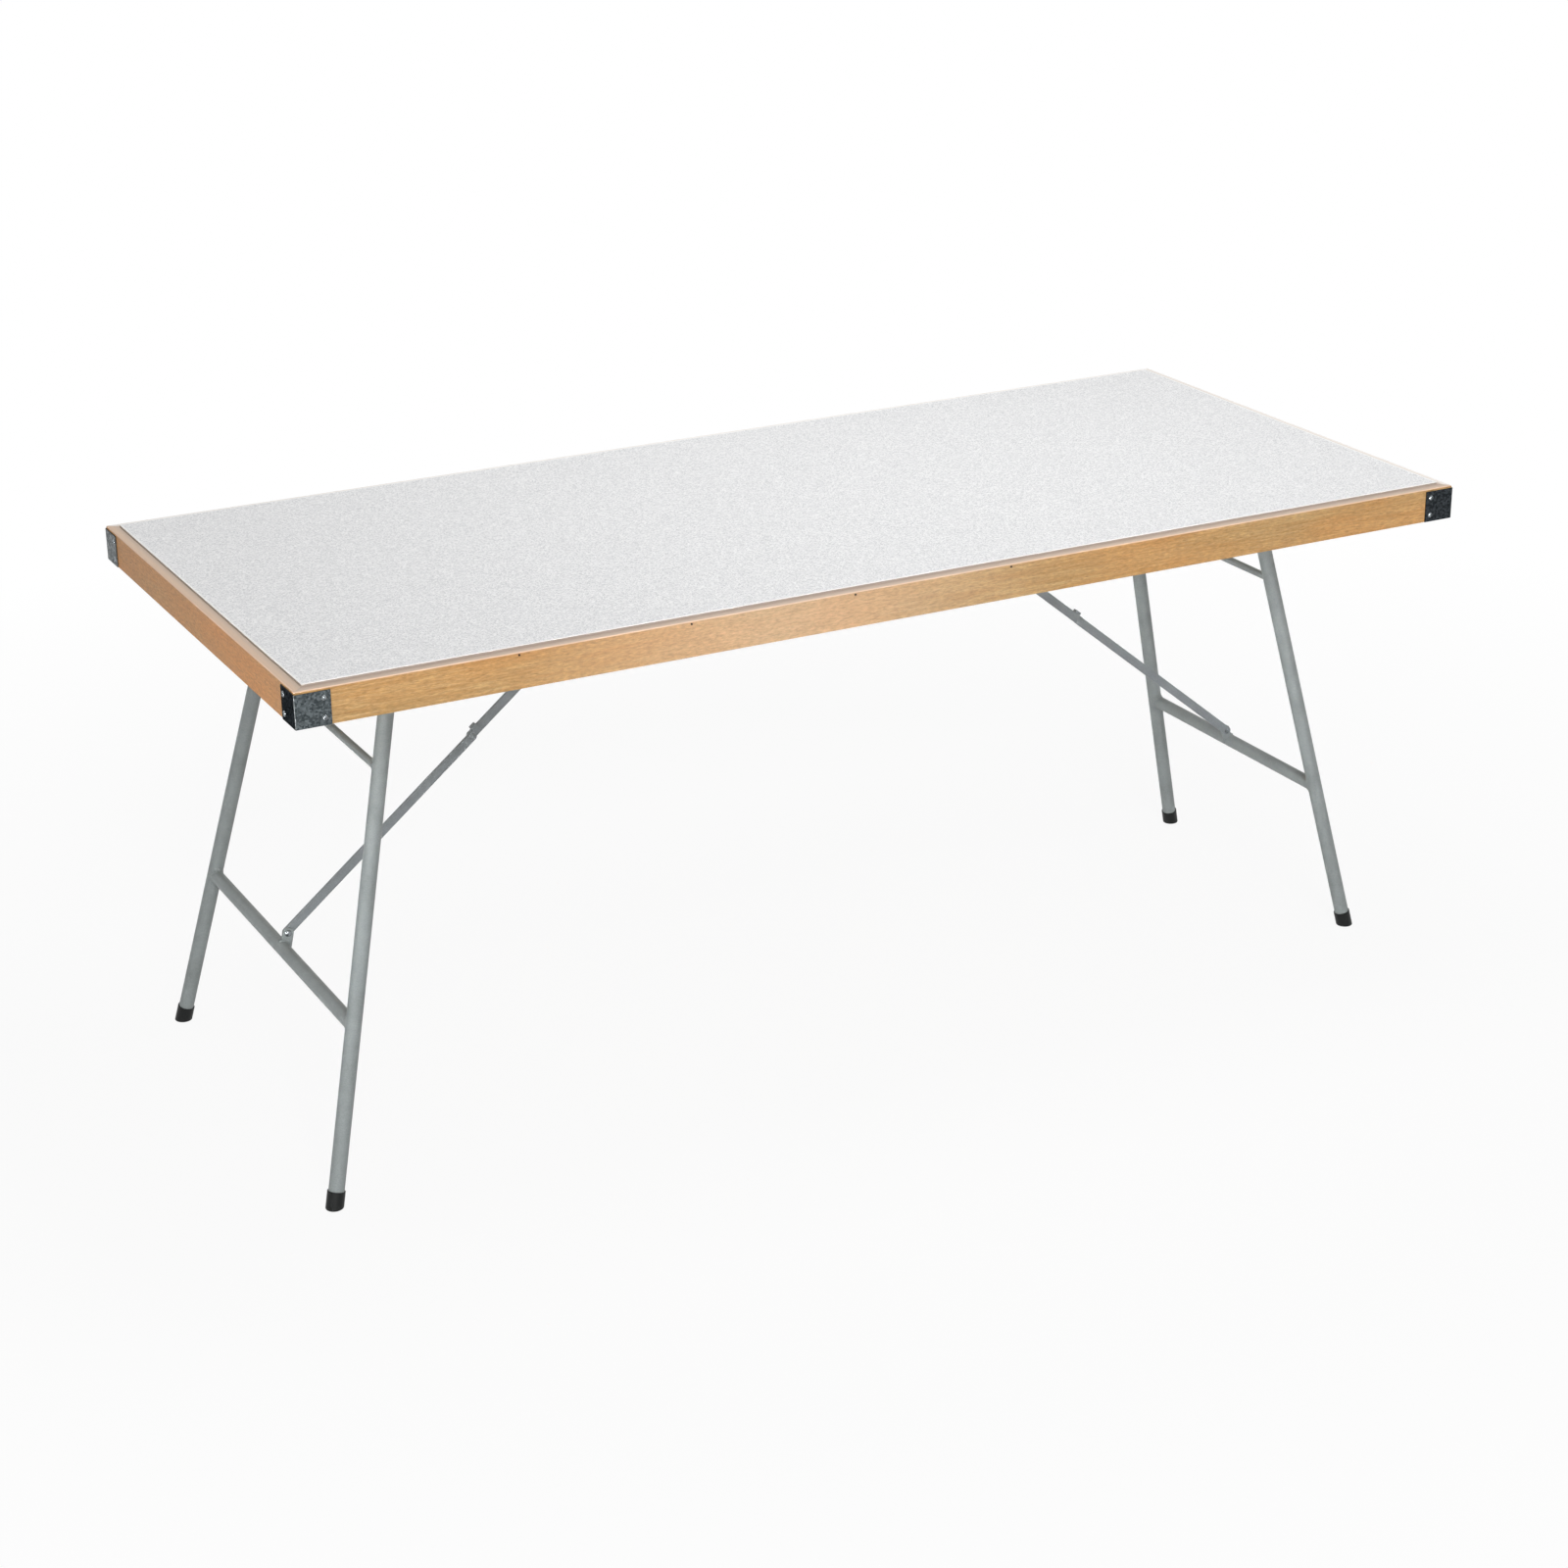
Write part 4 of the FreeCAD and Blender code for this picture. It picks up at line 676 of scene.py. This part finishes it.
class SetStage(bpy.types.Operator):
    """Set the floor, the lamps, the sky and the camera"""
    bl_idname = "trestle.set_stage"
    bl_label = "Set the stage"

    FLOOR_HALF = 40.0
    CLIP_END = 200.0
    # How far from the table's middle the shadow reaches, and where the floor is all white
    SHADOW_END = 1.2
    WHITE_START = 2.6
    # Light of the walls at the left and at the right, as shares of the sky's
    WALL_LEFT = 1.3
    WALL_RIGHT = 0.6
    # Lamps: name, setting of the power, width and height, place, what it points at, and spread
    LAMPS = (
        ("top_softbox", "top_lamp", (1.2, 1.0), (0.4, 0.0, 2.8), (0.4, 0.0, 0.0), math.pi),
        ("key_softbox", "key_lamp", (3.0, 5.0), (-2.65, -8.25, 5.5), (0.15, -0.2, CAD_HIGH.z), math.pi),
        ("fill_softbox", "fill_lamp", (3.0, 0.6), (-3.0, -6.5, 0.4), (0.2, 0.0, 0.6), math.pi),
        ("leg_strip", "strip_lamp", (2.4, 0.3), (-4.3, -3.5, 0.5), (0.5, -0.5, 0.5), math.radians(16.0)),
    )

    def execute(self, context):
        settings = context.scene.trestle_stage
        context.scene.view_settings.view_transform = "Standard"
        self.lay_floor(context, settings)
        self.light_sky(context, settings)
        for name, setting, size, place, target, spread in self.LAMPS:
            watts = getattr(settings, setting)
            self.hang_lamp(context, name, watts, size, Vector(place), Vector(target), spread)
        self.set_camera(context, settings)
        return {"FINISHED"}

    def lay_floor(self, context, settings):
        """A pale paper floor that shows white but keeps the table's shadow."""
        mesh = bpy.data.meshes.new("studio_floor")
        shape = bmesh.new()
        bmesh.ops.create_grid(shape, x_segments=1, y_segments=1, size=self.FLOOR_HALF)
        shape.to_mesh(mesh)
        shape.free()
        floor = bpy.data.objects.new("studio_floor", mesh)
        context.scene.collection.objects.link(floor)
        material, tree, place = start("studio_paper")
        paper = add(tree, "BsdfDiffuse", {"Color": settings.floor})
        white = add(tree, "Emission", {"Color": GREY[1.0], "Strength": 1.0})
        # The paper is whiter away from the table, where no shadow falls
        apart = add(tree, "VectorMath", {0: place}, operation="LENGTH")
        lift = add(tree, "MapRange", {"Value": apart.outputs["Value"], "From Min": self.SHADOW_END,
                                      "From Max": self.WHITE_START, "To Min": settings.floor_white,
                                      "To Max": 1.0})
        share = add(tree, "Math", {0: self.seen_directly(tree), 1: lift.outputs["Result"]},
                    operation="MULTIPLY")
        mixed = add(tree, "MixShader", {0: share.outputs["Value"], 1: paper.outputs["BSDF"],
                                        2: white.outputs["Emission"]})
        add(tree, "OutputMaterial", {"Surface": mixed.outputs["Shader"]})
        mesh.materials.append(material)

    def seen_directly(self, tree):
        """1 for rays of the camera, and of gloss and glass, which show the background too."""
        path = add(tree, "LightPath")
        either = add(tree, "Math", {0: path.outputs["Is Camera Ray"], 1: path.outputs["Is Glossy Ray"]},
                     operation="MAXIMUM")
        return add(tree, "Math", {0: either.outputs["Value"], 1: path.outputs["Is Transmission Ray"]},
                   operation="MAXIMUM").outputs["Value"]

    def light_sky(self, context, settings):
        """A studio that looks white, with walls that light the table more from the left."""
        world = bpy.data.worlds.new("studio")
        world.use_nodes = True
        tree = world.node_tree
        tree.nodes.clear()
        way = add(tree, "SeparateXYZ", {"Vector": add(tree, "TexCoord").outputs["Generated"]})
        walls = add(tree, "MapRange", {"Value": way.outputs["X"], "From Min": -1.0,
                                       "To Min": self.WALL_LEFT * settings.sky,
                                       "To Max": self.WALL_RIGHT * settings.sky})
        strength = add(tree, "MapRange", {"Value": self.seen_directly(tree),
                                          "To Min": walls.outputs["Result"], "To Max": 1.0})
        light = add(tree, "Background", {"Color": GREY[1.0], "Strength": strength.outputs["Result"]})
        add(tree, "OutputWorld", {"Surface": light.outputs["Background"]})
        context.scene.world = world

    def hang_lamp(self, context, name, watts, size, place, target, spread):
        """A rectangular lamp at a place, turned to a target."""
        lamp = bpy.data.lights.new(name, "AREA")
        lamp.energy = watts
        lamp.shape = "RECTANGLE"
        lamp.size, lamp.size_y = size
        lamp.spread = spread
        item = bpy.data.objects.new(name, lamp)
        item.location = place
        item.rotation_euler = (target - place).to_track_quat("-Z", "Y").to_euler()
        context.scene.collection.objects.link(item)

    def set_camera(self, context, settings):
        """The camera of the photograph, from its turn, rise, roll and place."""
        camera = bpy.data.cameras.new("photo_camera")
        camera.sensor_width = SENSOR_MM
        camera.lens = SENSOR_MM * settings.focus / IMAGE_WIDTH
        camera.clip_end = self.CLIP_END
        item = bpy.data.objects.new("photo_camera", camera)
        back = Vector((math.sin(settings.turn) * math.cos(settings.rise),
                       -math.cos(settings.turn) * math.cos(settings.rise), math.sin(settings.rise)))
        right = Vector((math.cos(settings.turn), math.sin(settings.turn), 0.0))
        basis = Matrix((right, back.cross(right), back)).transposed()
        rolled = basis @ Matrix.Rotation(settings.roll, 3, "Z")
        item.matrix_world = Matrix.Translation(settings.place) @ rolled.to_4x4()
        context.scene.collection.objects.link(item)
        context.scene.camera = item


OPERATORS = (DressPanel, DressRails, DressPlates, DressFasteners, DressFrames, LayWelds, DressStruts,
             SetStage)


class TrestlePanel(bpy.types.Panel):
    """Steps that finish the table"""
    bl_idname = "VIEW3D_PT_trestle"
    bl_label = "Trestle table"
    bl_space_type = "VIEW_3D"
    bl_region_type = "UI"
    bl_category = "Trestle table"

    def draw(self, context):
        for operator in OPERATORS:
            self.layout.operator(operator.bl_idname)


GROUPS = {"trestle_finishes": TableFinishes, "trestle_details": TableDetails, "trestle_stage": TableStage}
CLASSES = (*GROUPS.values(), *OPERATORS, TrestlePanel)


def register():
    for item in CLASSES:
        bpy.utils.register_class(item)
    for name, group in GROUPS.items():
        setattr(bpy.types.Scene, name, bpy.props.PointerProperty(type=group))


def unregister():
    for name in GROUPS:
        delattr(bpy.types.Scene, name)
    for item in reversed(CLASSES):
        bpy.utils.unregister_class(item)


def main():
    register()
    bpy.ops.trestle.dress_panel()
    bpy.ops.trestle.dress_rails()
    bpy.ops.trestle.dress_plates()
    bpy.ops.trestle.dress_fasteners()
    bpy.ops.trestle.dress_frames()
    bpy.ops.trestle.lay_welds()
    bpy.ops.trestle.dress_struts()
    bpy.ops.trestle.set_stage()


if __name__ == "__main__":
    main()
